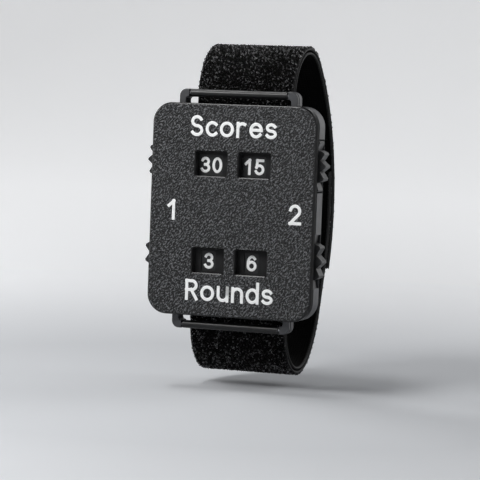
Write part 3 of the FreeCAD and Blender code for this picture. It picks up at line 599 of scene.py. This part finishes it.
@dataclass(frozen=True)
class Lettering:
    """Square-ended strokes of ink: a thin domed ribbon carried along each middle line."""

    height: float
    stroke: float
    gap: float
    raised: float = 0.05
    sunk: float = 0.02
    squareness: float = 0.3
    tip_angle: float = 0.01
    columns: int = 5
    cap_rows: int = 7

    def ribbon(self, line: np.ndarray) -> tuple[np.ndarray, np.ndarray]:
        """Sweep the ink's profile along a line, with a rounded square at each end of an open one.

        A row of the grid stands across the line. Its half width is the stroke's half width, and
        beyond the ends it shrinks as a power of the sine while the row moves out as that power of
        the cosine. Across a row the ink's height is 1 less the fourth power of the place.

        Args:
            line: places along the middle line, in millimetres.

        Returns:
            Points as across, up and ink height, and the faces between them.
        """
        half = self.stroke / 2
        way = np.gradient(line, axis=0)
        closed = np.allclose(line[0], line[-1])
        if closed:
            way[0] = way[-1] = line[1] - line[-2]
        way /= np.linalg.norm(way, axis=1, keepdims=True)
        turn = np.linspace(math.pi / 2, self.tip_angle, self.cap_rows + 1)[1:]
        out = (half * np.cos(turn) ** self.squareness)[:, None]
        share = np.sin(turn) ** self.squareness
        parts = [(line, way, np.ones(len(line)))]
        if not closed:
            parts.insert(0, ((line[0] - way[0] * out)[::-1], way[:1], share[::-1]))
            parts.append((line[-1] + way[-1] * out, way[-1:], share))
        centre = np.concatenate([part for part, _, _ in parts])
        along = np.concatenate([np.broadcast_to(way_part, part.shape) for part, way_part, _ in parts])
        width = np.concatenate([part_share for _, _, part_share in parts]) * half
        across = np.linspace(-1, 1, self.columns)
        side = np.stack([along[:, 1], -along[:, 0]], -1)
        flat = centre[:, None] + side[:, None] * (width[:, None] * across)[..., None]
        ink = np.broadcast_to(self.raised * (1 - across ** 4) - self.sunk * across ** 4, flat.shape[:2])
        points = np.concatenate([flat, ink[..., None]], -1).reshape(-1, 3)
        return points, grid_faces(len(centre), self.columns)

    def write(self, words: str) -> tuple[np.ndarray, np.ndarray]:
        """Set words in a row, centred on the middle of their ink.

        Args:
            words: characters to set.

        Returns:
            Points as across, up and ink height, and the faces between them.
        """
        scale = self.height - self.stroke
        cursor, sheets = 0.0, []
        for character in words:
            strokes = [np.concatenate([part.sample() for part in stroke]) for stroke in GLYPHS[character]]
            for line in strokes:
                steps = np.linalg.norm(np.diff(line, axis=0), axis=1)
                kept = line[np.concatenate([[True], steps > SAME_PLACE])]
                sheets.append(self.ribbon(kept * scale + (cursor, 0)))
            width = max(NARROWEST, *(line[:, 0].max() for line in strokes))
            cursor += width * scale + self.stroke + self.gap
        counts = np.cumsum([0] + [len(points) for points, _ in sheets])
        points = np.concatenate([points for points, _ in sheets])
        faces = np.concatenate([faces + start for (_, faces), start in zip(sheets, counts)])
        middle = (points[:, :2].min(0) + points[:, :2].max(0)) / 2
        points[:, :2] -= middle
        return points, faces

    def on_front(self, name: str, words: str, x: float, y: float, z: float,
                 pivot: tuple[float, float] | None = None, turn: float = 0.0) -> bpy.types.Object:
        """Print words on a face that looks forward.

        Args:
            name: name of the piece.
            words: characters to set.
            x: middle of the words across the face.
            y: place of the face.
            z: middle of the words up the face.
            pivot: point about which the placed words turn.
            turn: angle in radians from +X towards +Z.

        Returns:
            The printed piece.
        """
        points, faces = self.write(words)
        flat = points[:, :2] + (x, z)
        if pivot is not None:
            spin = np.array([[math.cos(turn), -math.sin(turn)], [math.sin(turn), math.cos(turn)]])
            flat = (flat - pivot) @ spin.T + pivot
        placed = np.stack([flat[:, 0], y - points[:, 2], flat[:, 1]], -1)
        return put_mesh(name, placed, faces)


# Sub-assemblies

@dataclass(frozen=True)
class WindowMask:
    """A thin black card behind a window, cut out round one number so that no other one shows. Its black
    border inside the window's edge also stands where that edge casts shadow: partly painted shadow.
    """

    name: str
    x: float
    z: float
    opening: tuple[float, float]
    outside: tuple[float, float, float, float]
    depth: float = 2.12
    thickness: float = 0.15
    corner: float = 0.4
    count: int = 48

    def ring(self, x: float, z: float, width: float, height: float) -> np.ndarray:
        """Go once round a rectangle whose corners are rounded.

        A circle of the corner's radius is drawn once, and each quarter is moved out to its corner.
        """
        angle = (np.arange(self.count) + 0.5) * 2 * math.pi / self.count
        across, up = np.cos(angle), np.sin(angle)
        return np.stack([x + np.sign(across) * (width / 2 - self.corner) + across * self.corner,
                         z + np.sign(up) * (height / 2 - self.corner) + up * self.corner], -1)

    def build(self, face: float) -> bpy.types.Object:
        """Join four such rings, outer and inner at the front and back, into a closed frame.

        Args:
            face: place of the cover's front face.

        Returns:
            The card.
        """
        outer, inner = self.ring(*self.outside), self.ring(self.x, self.z, *self.opening)
        near, far = face + self.depth, face + self.depth + self.thickness
        loops = ((outer, near), (inner, near), (inner, far), (outer, far))
        points = np.concatenate([
            np.stack([flat[:, 0], np.full(len(flat), y), flat[:, 1]], -1) for flat, y in loops])
        faces = grid_faces(len(loops) + 1, self.count, closed=True) % len(points)
        return put_mesh(self.name, points, faces, smooth=False)


@dataclass
class Case:
    """The two shells, what is fixed in them, and the labels on the front."""

    palette: Palette
    top_label: tuple[float, float] = (0.0, 20.85)
    bottom_label: tuple[float, float] = (0.3, -20.0)
    left_mark: tuple[float, float] = (-15.7, -0.2)
    right_mark: tuple[float, float] = (16.7, -0.1)
    label_ink: Lettering = Lettering(height=5.35, stroke=0.93, gap=0.5)
    mark_ink: Lettering = Lettering(height=5.2, stroke=0.92, gap=0.5)

    def build(self) -> None:
        """Dress the shells and print the labels."""
        nodes = frame["nodes"]
        self.palette.coat(nodes["front_cover"], "cover")
        self.palette.coat(nodes["rear_case"], "case")
        for name in ("axle_pins", "case_screws"):
            self.palette.coat(nodes[name], "steel")
        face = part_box("front_cover")[0].y / MM
        labels = (
            ("label_top", "Scores", self.label_ink, self.top_label),
            ("label_bottom", "Rounds", self.label_ink, self.bottom_label),
            ("mark_left", "1", self.mark_ink, self.left_mark),
            ("mark_right", "2", self.mark_ink, self.right_mark),
        )
        for name, words, ink, (x, z) in labels:
            piece = ink.on_front(name, words, x, face, z)
            self.palette.coat(piece, "ink")
            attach(piece, "root")
            LOG.info("%s reads %s", name, words)


@dataclass(frozen=True)
class WindowRow:
    """Two windows side by side: their wheels' numbers, and the numbers that they show first.

    The windows' middle stands at window, and the shown numbers at level, each moved across by shift
    inside an opening of the mask.
    """

    name: str
    numbers: tuple[str, ...]
    shown: tuple[int, int]
    window: float
    level: float
    opening: tuple[float, float]
    shift: float


ROWS = (
    WindowRow("points", ("0", "15", "30", "40", "50"), (2, 1), 11.5, 11.2, (6.4, 5.1), -0.75),
    WindowRow("games", ("0", "1", "2", "3", "4", "5", "6"), (3, 6), -12.6, -12.75, (3.8, 5.0), -0.5),
)


@dataclass
class NumberWheel:
    """One toothed wheel with its numbers, and the spring that clicks in its hub."""

    palette: Palette
    row: WindowRow
    side: Side
    shown: int
    reach: float = 5.66
    window_size: tuple[float, float] = (8.3, 6.1)
    mask_margin: float = 0.6
    ink: Lettering = Lettering(height=4.1, stroke=0.82, gap=0.42)

    def build(self) -> None:
        """Dress the wheel and its spring, and print a number for each stop.

        Each number stands upright in the window when the wheel has turned to its stop, so on the
        wheel it is turned back about the axis by that stop's angle.
        """
        row = self.row
        body = f"{row.name}_wheel_{self.side.word}"
        self.palette.coat(frame["nodes"][body], "wheel")
        self.palette.coat(frame["nodes"][f"{row.name}_detent_{self.side.word}"], "steel")
        axis = next(joint for joint in frame["joints"] if joint["child"] == body)["pos_m"]
        pivot = (axis[0] / MM, axis[2] / MM)
        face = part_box(body)[0].y / MM
        x = self.side.value * self.reach + row.shift
        for stop, number in enumerate(row.numbers):
            turn = 2 * math.pi * (stop - self.shown) / len(row.numbers)
            piece = self.ink.on_front(f"{body}_number_{number}", number, x, face, row.level, pivot, turn)
            self.palette.coat(piece, "ink")
            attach(piece, body)
        # The card's black border inside the window is partly painted shadow along the window's edge.
        width, height = (size + 2 * self.mask_margin for size in self.window_size)
        outside = (self.side.value * self.reach, row.window, width, height)
        mask = WindowMask(f"{body}_mask", x, row.level, row.opening, outside)
        card = mask.build(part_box("front_cover")[0].y / MM)
        self.palette.coat(card, "card")
        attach(card, "root")
        LOG.info("%s shows %s", body, row.numbers[self.shown])


@dataclass
class SpringBar:
    """A lacquered bar between two lugs, with its sprung tips and its coil."""

    palette: Palette
    end: End
    coil_half: float = 11.33
    coil_radius: float = 0.4
    wire: float = 0.17
    turns: int = 16
    steps: int = 16
    sides: int = 8

    def coil(self, side: Side) -> bpy.types.Object:
        """Wind half of the coil, from the middle of the bar to one tip.

        The path is a helix, whose place along the bar grows evenly with its angle. A circle goes
        round it, in the plane of the outward direction and of the path's cross product with that.

        Args:
            side: side on which the half lies.

        Returns:
            Half of the coil, which is pressed together when its tip slides in.
        """
        body = f"{self.end.word}_bar"
        low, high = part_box(f"{body}_spring")
        middle = np.array([0.0, (low.y + high.y) / 2, (low.z + high.z) / 2])
        turn = np.linspace(0, side.value * self.turns / 2, self.turns * self.steps // 2 + 1)
        angle, none, pitch = 2 * math.pi * turn, np.zeros_like(turn), 2 * self.coil_half / self.turns
        outward = np.stack([none, np.cos(angle), np.sin(angle)], -1)
        path = middle / MM + self.coil_radius * outward + np.stack([pitch * turn, none, none], -1)
        sweep = 2 * math.pi * self.coil_radius
        way = side.value * np.stack([none + pitch, -sweep * np.sin(angle), sweep * np.cos(angle)], -1)
        across = np.cross(way / np.linalg.norm(way, axis=1, keepdims=True), outward)
        ring = np.linspace(0, 2 * math.pi, self.sides, endpoint=False)[:, None]
        circle = np.cos(ring) * outward[:, None] + np.sin(ring) * across[:, None]
        points = (path[:, None] + self.wire * circle).reshape(-1, 3)
        piece = put_mesh(f"{body}_coil_{side.word}", points, tube_faces(len(turn), self.sides))
        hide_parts(f"{body}_spring")
        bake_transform(piece)
        return piece

    def build(self) -> None:
        """Dress the bar's nodes and wind its coil."""
        nodes = frame["nodes"]
        self.palette.coat(nodes[f"{self.end.word}_bar_tube"], "bar")
        for side in Side:
            self.palette.coat(nodes[f"{self.end.word}_bar_tip_{side.word}"], "steel")
            self.palette.coat(self.coil(side), "steel")
        LOG.info("%s bar dressed, with its coil in two halves", self.end.word)


class BandLine:
    """A line of straights and left-hand arcs in the plane of Y and Z, by its length from the start."""

    def __init__(self, y: float, z: float, heading: float,
                 parts: tuple[tuple[float, float], ...]) -> None:
        """Lay the parts end to end.

        Args:
            y: place of the start.
            z: place of the start.
            heading: direction of the start in radians, from +Y towards +Z.
            parts: curvature and length of each part.
        """
        starts = []
        for curve, length in parts:
            starts.append((y, z, heading, curve))
            reach = self.chord(np.array([heading]), np.array([curve]), np.array([length]))
            y, z, heading = y + float(reach[0, 0]), z + float(reach[0, 1]), heading + curve * length
        self.starts = np.array(starts)
        self.edges = np.concatenate([[0], np.cumsum([length for _, length in parts])])
        self.length = float(self.edges[-1])

    @staticmethod
    def chord(heading: np.ndarray, curve: np.ndarray, length: np.ndarray) -> np.ndarray:
        """Add up the direction along arcs: the chord has a sine's share of their length.

        Args:
            heading: direction at each arc's start.
            curve: turn for each millimetre.
            length: length along each arc.

        Returns:
            The way from each arc's start to its end, as Y and Z.
        """
        half = curve * length / 2
        reach = length * np.sinc(half / math.pi)
        return np.stack([reach * np.cos(heading + half), reach * np.sin(heading + half)], -1)

    def at(self, along: np.ndarray) -> tuple[np.ndarray, np.ndarray, np.ndarray]:
        """Find places on the line.

        Args:
            along: lengths from the start.

        Returns:
            Points, outward directions and forward directions, each as X, Y and Z.
        """
        part = np.clip(np.searchsorted(self.edges, along, side="right") - 1, 0, len(self.starts) - 1)
        y, z, heading, curve = self.starts[part].T
        local = along - self.edges[part]
        reach = self.chord(heading, curve, local)
        facing = heading + curve * local
        none = np.zeros_like(along)
        points = np.stack([none, y + reach[:, 0], z + reach[:, 1]], -1)
        outward = np.stack([none, np.sin(facing), -np.cos(facing)], -1)
        forward = np.stack([none, np.cos(facing), np.sin(facing)], -1)
        return points, outward, forward


@dataclass(frozen=True)
class LoopPile:
    """Brushed loops of yarn: small arches of a three-sided tube, strewn over a band's outside."""

    spacing: float = 0.46
    width: tuple[float, float] = (0.22, 0.46)
    height: tuple[float, float] = (0.26, 0.48)
    yarn: tuple[float, float] = (0.07, 0.11)
    lean: float = 0.25
    root: float = 0.5
    turn: float = math.pi
    stray: float = 0.6
    # Each loop's painted glint is a random number to this power, so most loops stay black and a few are
    # painted pale.
    dark_power: int = 4
    points: int = 5
    sides: int = 3

    def strew(self, line: BandLine, start: float, end: float, half_width: float, inset: float,
              seed: int) -> tuple[np.ndarray, np.ndarray, np.ndarray]:
        """Make the loops of a stretch of band.

        A loop is an arch: its place along its own direction follows the cosine and its rise the
        sine of an angle, with a lean to one side. A triangle is carried along that arch.

        Args:
            line: outer line of the band.
            start: where the stretch starts along the line.
            end: where it ends.
            half_width: half the width that the loops cover.
            inset: how far below the line their roots are.
            seed: seed of their scatter.

        Returns:
            Points, faces, and a painted glint from 0 to 1 for each point.
        """
        random = np.random.default_rng(seed)
        rows = np.arange(start, end, self.spacing)
        columns = np.arange(-half_width, half_width, self.spacing)
        along, across = (part.ravel() for part in np.meshgrid(rows, columns, indexing="ij"))
        count = along.size
        along = along + random.uniform(-self.stray, self.stray, count) * self.spacing
        across = across + random.uniform(-self.stray, self.stray, count) * self.spacing
        along, across = np.clip(along, start, end), np.clip(across, -half_width, half_width)
        base, outward, forward = line.at(along)
        base = base - outward * inset + np.outer(across, (1, 0, 0))
        heading = random.uniform(0, 2 * math.pi, count)[:, None]
        sideways = np.array([[1.0, 0.0, 0.0]])
        way = np.cos(heading) * sideways + np.sin(heading) * forward
        flank = -np.sin(heading) * sideways + np.cos(heading) * forward
        half = random.uniform(*self.width, (count, 1, 1)) / 2
        rise = random.uniform(*self.height, (count, 1, 1))
        tilt = random.uniform(-self.lean, self.lean, (count, 1, 1))
        angle = np.linspace(0, self.turn, self.points)[None, :, None]
        way, flank, outward = way[:, None], flank[:, None], outward[:, None]
        lift = outward * rise + flank * tilt
        path = base[:, None] + way * half * np.cos(angle) + lift * np.sin(angle)
        run = -way * half * np.sin(angle) + lift * np.cos(angle)
        run /= np.linalg.norm(run, axis=-1, keepdims=True)
        cross = np.cross(run, np.broadcast_to(flank, run.shape))
        cross /= np.linalg.norm(cross, axis=-1, keepdims=True)
        other = np.cross(run, cross)
        corner = np.linspace(0, 2 * math.pi, self.sides, endpoint=False)[None, None, :, None]
        thick = random.uniform(*self.yarn, (count, 1, 1, 1))
        triangle = np.cos(corner) * cross[:, :, None] + np.sin(corner) * other[:, :, None]
        tube = path[:, :, None] + thick * triangle
        each = self.points * self.sides
        quads = grid_faces(self.points, self.sides, closed=True)
        faces = (np.arange(count)[:, None, None] * each + quads).reshape(-1, 4)
        # Painted glints: a few random loops are painted pale as points of light.
        shade = np.repeat(random.uniform(0, 1, count) ** self.dark_power, each)
        return tube.reshape(-1, 3), faces, shade


@dataclass
class Strap:
    """The hook-and-loop strap: ground cloth with loops, lining, and the free tab that closes it."""

    palette: Palette
    half_width: float = 12.7
    front: float = -3.5
    crown: float = 13.5
    half_run: float = 28.5
    depth: float = 40.0
    layers: float = 2.2
    pile: float = 1.4
    hook: float = 0.7
    hook_gap: float = 0.2
    tuck: float = 27.4
    tab_root: float = 14.0
    tab_end: float = -16.0
    inner_end: float = 10.0
    hook_margin: float = 1.5
    behind_case: float = 21.0
    bend_end: float = 5.0
    selvedge: float = 0.32
    selvedge_sides: int = 10
    edge_points: int = 9
    flat_points: int = 13
    flat_margin: float = 2.2
    pile_side: float = 0.25
    ground_top: float = 0.42
    ground_lift: float = 0.04
    lining_side: float = 0.2
    lining_gap: float = 0.06
    tape_top: float = 0.02
    tape_bottom: float = 0.3
    hook_root: float = 0.25
    hook_start: float = 0.5
    hook_side: float = 0.8
    row_step: float = 1.2
    loops: LoopPile = LoopPile()
    hooks: LoopPile = LoopPile(spacing=0.9, width=(0.5, 0.6), height=(-0.62, -0.5), yarn=(0.09, 0.1),
                               lean=0.05, turn=2.6)

    def __post_init__(self) -> None:
        """Work out the strap's lines as the CAD does."""
        past = self.depth - self.crown
        back = (past ** 2 + self.half_run ** 2 - self.crown ** 2) / (2 * (past - self.crown))
        centre = self.front + self.depth - back
        inner = back - self.layers - self.hook - self.hook_gap
        meet = math.asin(self.half_run / (back - self.crown))
        root, end = math.asin(self.tab_root / back), math.asin(self.tab_end / back)
        inner_end = math.asin(self.inner_end / inner)
        tuck = math.acos((inner - self.tuck) / (back - self.tuck))
        turn = math.pi - meet
        self.whole = BandLine(centre + back * math.cos(root), back * math.sin(root), root + math.pi / 2, (
            (1 / back, back * (meet - root)),
            (1 / self.crown, self.crown * turn),
            (0.0, 2 * self.half_run),
            (1 / self.crown, self.crown * turn),
            (1 / self.tuck, self.tuck * tuck),
            (0.0, (back - self.tuck) * math.sin(tuck)),
            (1 / inner, inner * (inner_end + meet - tuck)),
        ))
        self.tab = BandLine(centre + back * math.cos(end), back * math.sin(end), end + math.pi / 2,
                            ((1 / back, back * (root - end)),))
        margin = self.hook_margin / inner
        hook_start, hook_end = end + margin, inner_end - margin
        self.patch = BandLine(centre + back * math.cos(hook_start), back * math.sin(hook_start),
                              hook_start + math.pi / 2, ((1 / back, back * (hook_end - hook_start)),))
        self.hinge_y = centre + back * math.cos(root)

    def slab(self, half_width: float, top: float, bottom: float) -> np.ndarray:
        """Draw a band's cross-section: two flat faces, and a half circle along each edge.

        Args:
            half_width: half the band's width.
            top: inset of the outer face.
            bottom: inset of the inner face.

        Returns:
            Across and inset of each point, once round.
        """
        middle, half = (top + bottom) / 2, (bottom - top) / 2
        edge = np.radians(np.linspace(-90, 90, self.edge_points))
        flat = np.linspace(-1, 1, self.flat_points + 2)[1:-1] * (half_width - self.flat_margin * half)
        right = np.stack([half_width - half + half * np.cos(edge), middle + half * np.sin(edge)], -1)
        left = np.stack([half - half_width - half * np.cos(edge), middle - half * np.sin(edge)], -1)
        under = np.stack([flat[::-1], np.full(flat.size, bottom)], -1)
        over = np.stack([flat, np.full(flat.size, top)], -1)
        return np.concatenate([over, right, under, left])

    def edges(self, start: str, line: BandLine) -> list[bpy.types.Object]:
        """Add the round selvedges of the pile and the lining along both sides.

        Each is a circle of across and inset, carried along the line.

        Args:
            start: first word of the pieces' names.
            line: outer line of the strap.

        Returns:
            The four selvedges.
        """
        angle = np.radians(np.arange(0, 360, 360 / self.selvedge_sides))
        circle = self.selvedge * np.stack([np.cos(angle), np.sin(angle)], -1)
        insets = {"pile": self.pile - 2 * self.selvedge, "lining": self.layers - self.selvedge}
        return [
            self.band(f"{start}_{layer}_edge_{side.word}", line,
                      circle + (side.value * (self.half_width - self.selvedge), inset), "edge")
            for layer, inset in insets.items() for side in Side
        ]

    def band(self, name: str, line: BandLine, profile: np.ndarray, finish: str) -> bpy.types.Object:
        """Carry a cross-section along a line, and close its ends.

        Args:
            name: name of the piece.
            line: outer line of the strap.
            profile: across and inset of each point of the cross-section.
            finish: name of its material.

        Returns:
            The band, with a map in millimetres.
        """
        along = np.linspace(0, line.length, int(line.length / self.row_step))
        base, outward, _ = line.at(along)
        points = base[:, None] - outward[:, None] * profile[None, :, 1:] \
            + profile[None, :, :1] * np.array([1.0, 0.0, 0.0])
        rows, columns = points.shape[:2]
        piece = put_mesh(name, points.reshape(-1, 3), tube_faces(rows, columns)[:, ::-1])
        set_uv(piece, np.tile(profile[:, 0], rows), np.repeat(along, columns))
        self.palette.coat(piece, finish)
        return piece

    def pile_piece(self, name: str, loops: LoopPile, line: BandLine, start: float, end: float,
                   half_width: float, inset: float, finish: str) -> bpy.types.Object:
        """Strew loops over a stretch of band as one piece.

        Args:
            name: name of the piece, which also seeds the scatter.
            loops: how the loops are made.
            line: outer line of the band.
            start: where the stretch starts.
            end: where it ends.
            half_width: half the width that they cover.
            inset: how far below the line their roots are.
            finish: name of their material.

        Returns:
            The piece, with a painted glint on each loop.
        """
        points, faces, shade = loops.strew(line, start, end, half_width, inset, sum(name.encode()))
        piece = put_mesh(name, points, faces)
        set_attribute(piece, "shade", shade)
        self.palette.coat(piece, finish)
        LOG.info("%s has %d faces", name, len(faces))
        return piece

    def build(self) -> None:
        """Make the fixed loop of strap, then the tab that peels off it."""
        spread = self.half_width - self.pile_side
        ground = self.slab(spread, self.ground_top, self.pile - self.ground_lift)
        lining = self.slab(self.half_width - self.lining_side, self.pile + self.lining_gap,
                           self.layers - self.lining_gap)
        run_start = self.whole.edges[2] + self.half_run - self.behind_case
        run_end = self.whole.edges[2] + self.half_run + self.behind_case

        strap_ground = self.band("strap_ground", self.whole, ground, "ground")
        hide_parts("strap_pile")
        strap_inside = self.band("strap_inside", self.whole, lining, "lining")
        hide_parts("strap_lining")
        fixed = [strap_ground, strap_inside, *self.edges("strap", self.whole)]
        under = self.whole.edges[4]
        stretches = (("upper", 0.0, run_start), ("lower", run_end, under),
                     ("under", under, self.whole.length))
        for word, start, end in stretches:
            fixed.append(self.pile_piece(f"strap_loops_{word}", self.loops, self.whole, start, end,
                                         spread, self.loops.root, "yarn"))
        for piece in fixed:
            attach(piece, "root")

        tab_ground = self.band("tab_ground", self.tab, ground, "ground")
        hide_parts("tab_pile")
        tab_inside = self.band("tab_inside", self.tab, lining, "lining")
        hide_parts("tab_lining")
        tape_half = self.half_width - self.hook_margin
        tape = self.slab(tape_half, self.layers + self.tape_top, self.layers + self.tape_bottom)
        hook_tape = self.band("hook_tape", self.patch, tape, "hooks")
        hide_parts("hook_patch")
        tab_loops = self.pile_piece("tab_loops", self.loops, self.tab, 0.0, self.tab.length, spread,
                                    self.loops.root, "yarn")
        tape_hooks = self.pile_piece("tape_hooks", self.hooks, self.patch, self.hook_start,
                                     self.patch.length - self.hook_start, tape_half - self.hook_side,
                                     self.layers + self.hook_root, "yarn")
        start = (0.0, self.hinge_y * MM, self.tab_root * MM)
        end = (0.0, self.hinge_y * MM, self.bend_end * MM)
        bending = (tab_ground, tab_inside, hook_tape, tab_loops, tape_hooks, *self.edges("tab", self.tab))
        for piece in bending:
            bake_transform(piece)


class Lamp(NamedTuple):
    """A soft rectangular lamp: its place and its two sides in millimetres, and its power in watts."""

    name: str
    place: tuple[float, float, float]
    size: tuple[float, float]
    watts: float


@dataclass
class Studio:
    """A pale floor, soft light, and the camera at the photograph's view."""

    lamps: tuple[Lamp, ...] = (
        Lamp("key_light", (-110.0, -190.0, 160.0), (120.0, 90.0), 0.5),
        Lamp("right_light", (330.0, 330.0, 190.0), (240.0, 340.0), 0.8),
        Lamp("left_light", (-430.0, 160.0, 170.0), (180.0, 240.0), 1.0),
        Lamp("top_light", (-140.0, -35.0, 470.0), (220.0, 90.0), 0.8),
    )
    floor_level: float = -45.0
    floor_hub: float = 0.1
    floor_reach: float = 350.0
    floor_sides: int = 96
    sweep_radius: float = 500.0
    sweep_rows: int = 24
    wall_height: float = 900.0
    azimuth: float = 19.0
    elevation: float = 3.3
    roll: float = 2.15
    distance: float = 535.0
    lens: float = 162.35
    sensor: float = 36.0
    nearest: float = 10.0
    farthest: float = 20000.0
    aim: tuple[float, float, float] = (2.74, -11.2, -6.95)
    sky: str = "#c9ccd0"
    floor_colour: str = "#bcbec1"
    wall_colour: str = "#e9eaec"
    paper_roughness: float = 0.85
    wall_glow: float = 0.4
    glow_start: float = 110.0
    glow_full: float = 520.0
    sky_strength: float = 0.12

    def floor(self) -> None:
        """Lay a round floor that sweeps up into a wall: one profile turned about the upright axis."""
        bend = np.linspace(0, math.pi / 2, self.sweep_rows)
        radius = np.concatenate([[self.floor_hub], self.floor_reach + self.sweep_radius * np.sin(bend),
                                 [self.floor_reach + self.sweep_radius]])
        rise = np.concatenate([[0.0], self.sweep_radius * (1 - np.cos(bend)), [self.wall_height]])
        angle = np.linspace(0, 2 * math.pi, self.floor_sides, endpoint=False)
        x, y = radius[:, None] * np.cos(angle), radius[:, None] * np.sin(angle)
        z = np.broadcast_to(self.floor_level + rise[:, None], x.shape)
        faces = grid_faces(len(radius), len(angle), closed=True)
        piece = put_mesh("studio_floor", np.stack([x, y, z], -1).reshape(-1, 3), faces[:, ::-1])
        material = bpy.data.materials.new("studio_paper")
        material.use_nodes = True
        tree = material.node_tree
        shader = tree.nodes["Principled BSDF"]
        shader.inputs["Roughness"].default_value = self.paper_roughness
        place = add_node(tree, "ShaderNodeTexCoord").outputs["Object"]
        distance = add_node(tree, "ShaderNodeVectorMath", {0: place}, operation="LENGTH")
        # Past glow_start the paper turns paler and glows for camera and glossy rays: painted light on the
        # far floor and wall, seen directly and in reflections.
        far = add_node(tree, "ShaderNodeMapRange", {
            "Value": distance.outputs["Value"], "From Min": self.glow_start * MM,
            "From Max": self.glow_full * MM})
        paper = add_node(tree, "ShaderNodeMix", {
            "Factor": far.outputs["Result"], "A": linear(self.floor_colour),
            "B": linear(self.wall_colour)}, data_type="RGBA")
        tree.links.new(paper.outputs["Result"], shader.inputs["Base Color"])
        ray = add_node(tree, "ShaderNodeLightPath")
        shiny = add_node(tree, "ShaderNodeMath", {
            0: ray.outputs["Is Glossy Ray"], 1: ray.outputs["Is Transmission Ray"]}, operation="ADD")
        seen = add_node(tree, "ShaderNodeMath", {
            0: ray.outputs["Is Camera Ray"], 1: shiny.outputs["Value"]}, operation="ADD", use_clamp=True)
        shown = add_node(tree, "ShaderNodeMath", {
            0: far.outputs["Result"], 1: seen.outputs["Value"]}, operation="MULTIPLY")
        glow = add_node(tree, "ShaderNodeMath", {
            0: shown.outputs["Value"], 1: self.wall_glow}, operation="MULTIPLY")
        tree.links.new(glow.outputs["Value"], shader.inputs["Emission Strength"])
        piece.data.materials.append(material)

    @staticmethod
    def hang(lamp: Lamp) -> None:
        """Hang a lamp that points at the object and isn't seen itself."""
        light = bpy.data.lights.new(lamp.name, "AREA")
        light.shape = "RECTANGLE"
        light.size, light.size_y = (side * MM for side in lamp.size)
        light.energy = lamp.watts
        holder = bpy.data.objects.new(lamp.name, light)
        bpy.context.scene.collection.objects.link(holder)
        spot = Vector(lamp.place) * MM
        holder.location = spot
        holder.rotation_mode = "QUATERNION"
        holder.rotation_quaternion = (-spot).to_track_quat("-Z", "Y")
        holder.visible_camera = False

    def sky_light(self) -> None:
        """Fill the world with one pale colour."""
        world = bpy.data.worlds.new("studio_sky")
        world.use_nodes = True
        background = world.node_tree.nodes["Background"]
        background.inputs["Color"].default_value = linear(self.sky)
        background.inputs["Strength"].default_value = self.sky_strength
        bpy.context.scene.world = world

    def camera(self) -> None:
        """Set the camera where the photograph's was, by its angles, roll and distance."""
        turn, rise, roll = (math.radians(part) for part in (self.azimuth, self.elevation, self.roll))
        back = Vector((math.sin(turn) * math.cos(rise), -math.cos(turn) * math.cos(rise), math.sin(rise)))
        level = Vector((math.cos(turn), math.sin(turn), 0.0))
        up = back.cross(level)
        right = level * math.cos(roll) + up * math.sin(roll)
        head = up * math.cos(roll) - level * math.sin(roll)
        view = bpy.data.cameras.new("photo_camera")
        view.lens = self.lens
        view.sensor_width = self.sensor
        view.clip_start, view.clip_end = self.nearest * MM, self.farthest * MM
        holder = bpy.data.objects.new("photo_camera", view)
        bpy.context.scene.collection.objects.link(holder)
        place = (Vector(self.aim) + back * self.distance) * MM
        axes = Matrix((right, head, back)).transposed().to_4x4()
        holder.matrix_world = Matrix.Translation(place) @ axes
        bpy.context.scene.camera = holder

    def build(self) -> None:
        """Set up the whole studio."""
        self.floor()
        self.sky_light()
        for lamp in self.lamps:
            self.hang(lamp)
        self.camera()
        bpy.context.scene.view_settings.view_transform = "Standard"


def main() -> None:
    """Build the sub-assemblies in order."""
    logging.basicConfig(level=logging.INFO, format="%(message)s")
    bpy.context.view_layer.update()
    palette = Palette()
    Case(palette).build()
    for row in ROWS:
        for side, shown in zip(Side, row.shown):
            NumberWheel(palette, row, side, shown).build()
    for end in End:
        SpringBar(palette, end).build()
    Strap(palette).build()
    Studio().build()


if __name__ == "__main__":
    main()
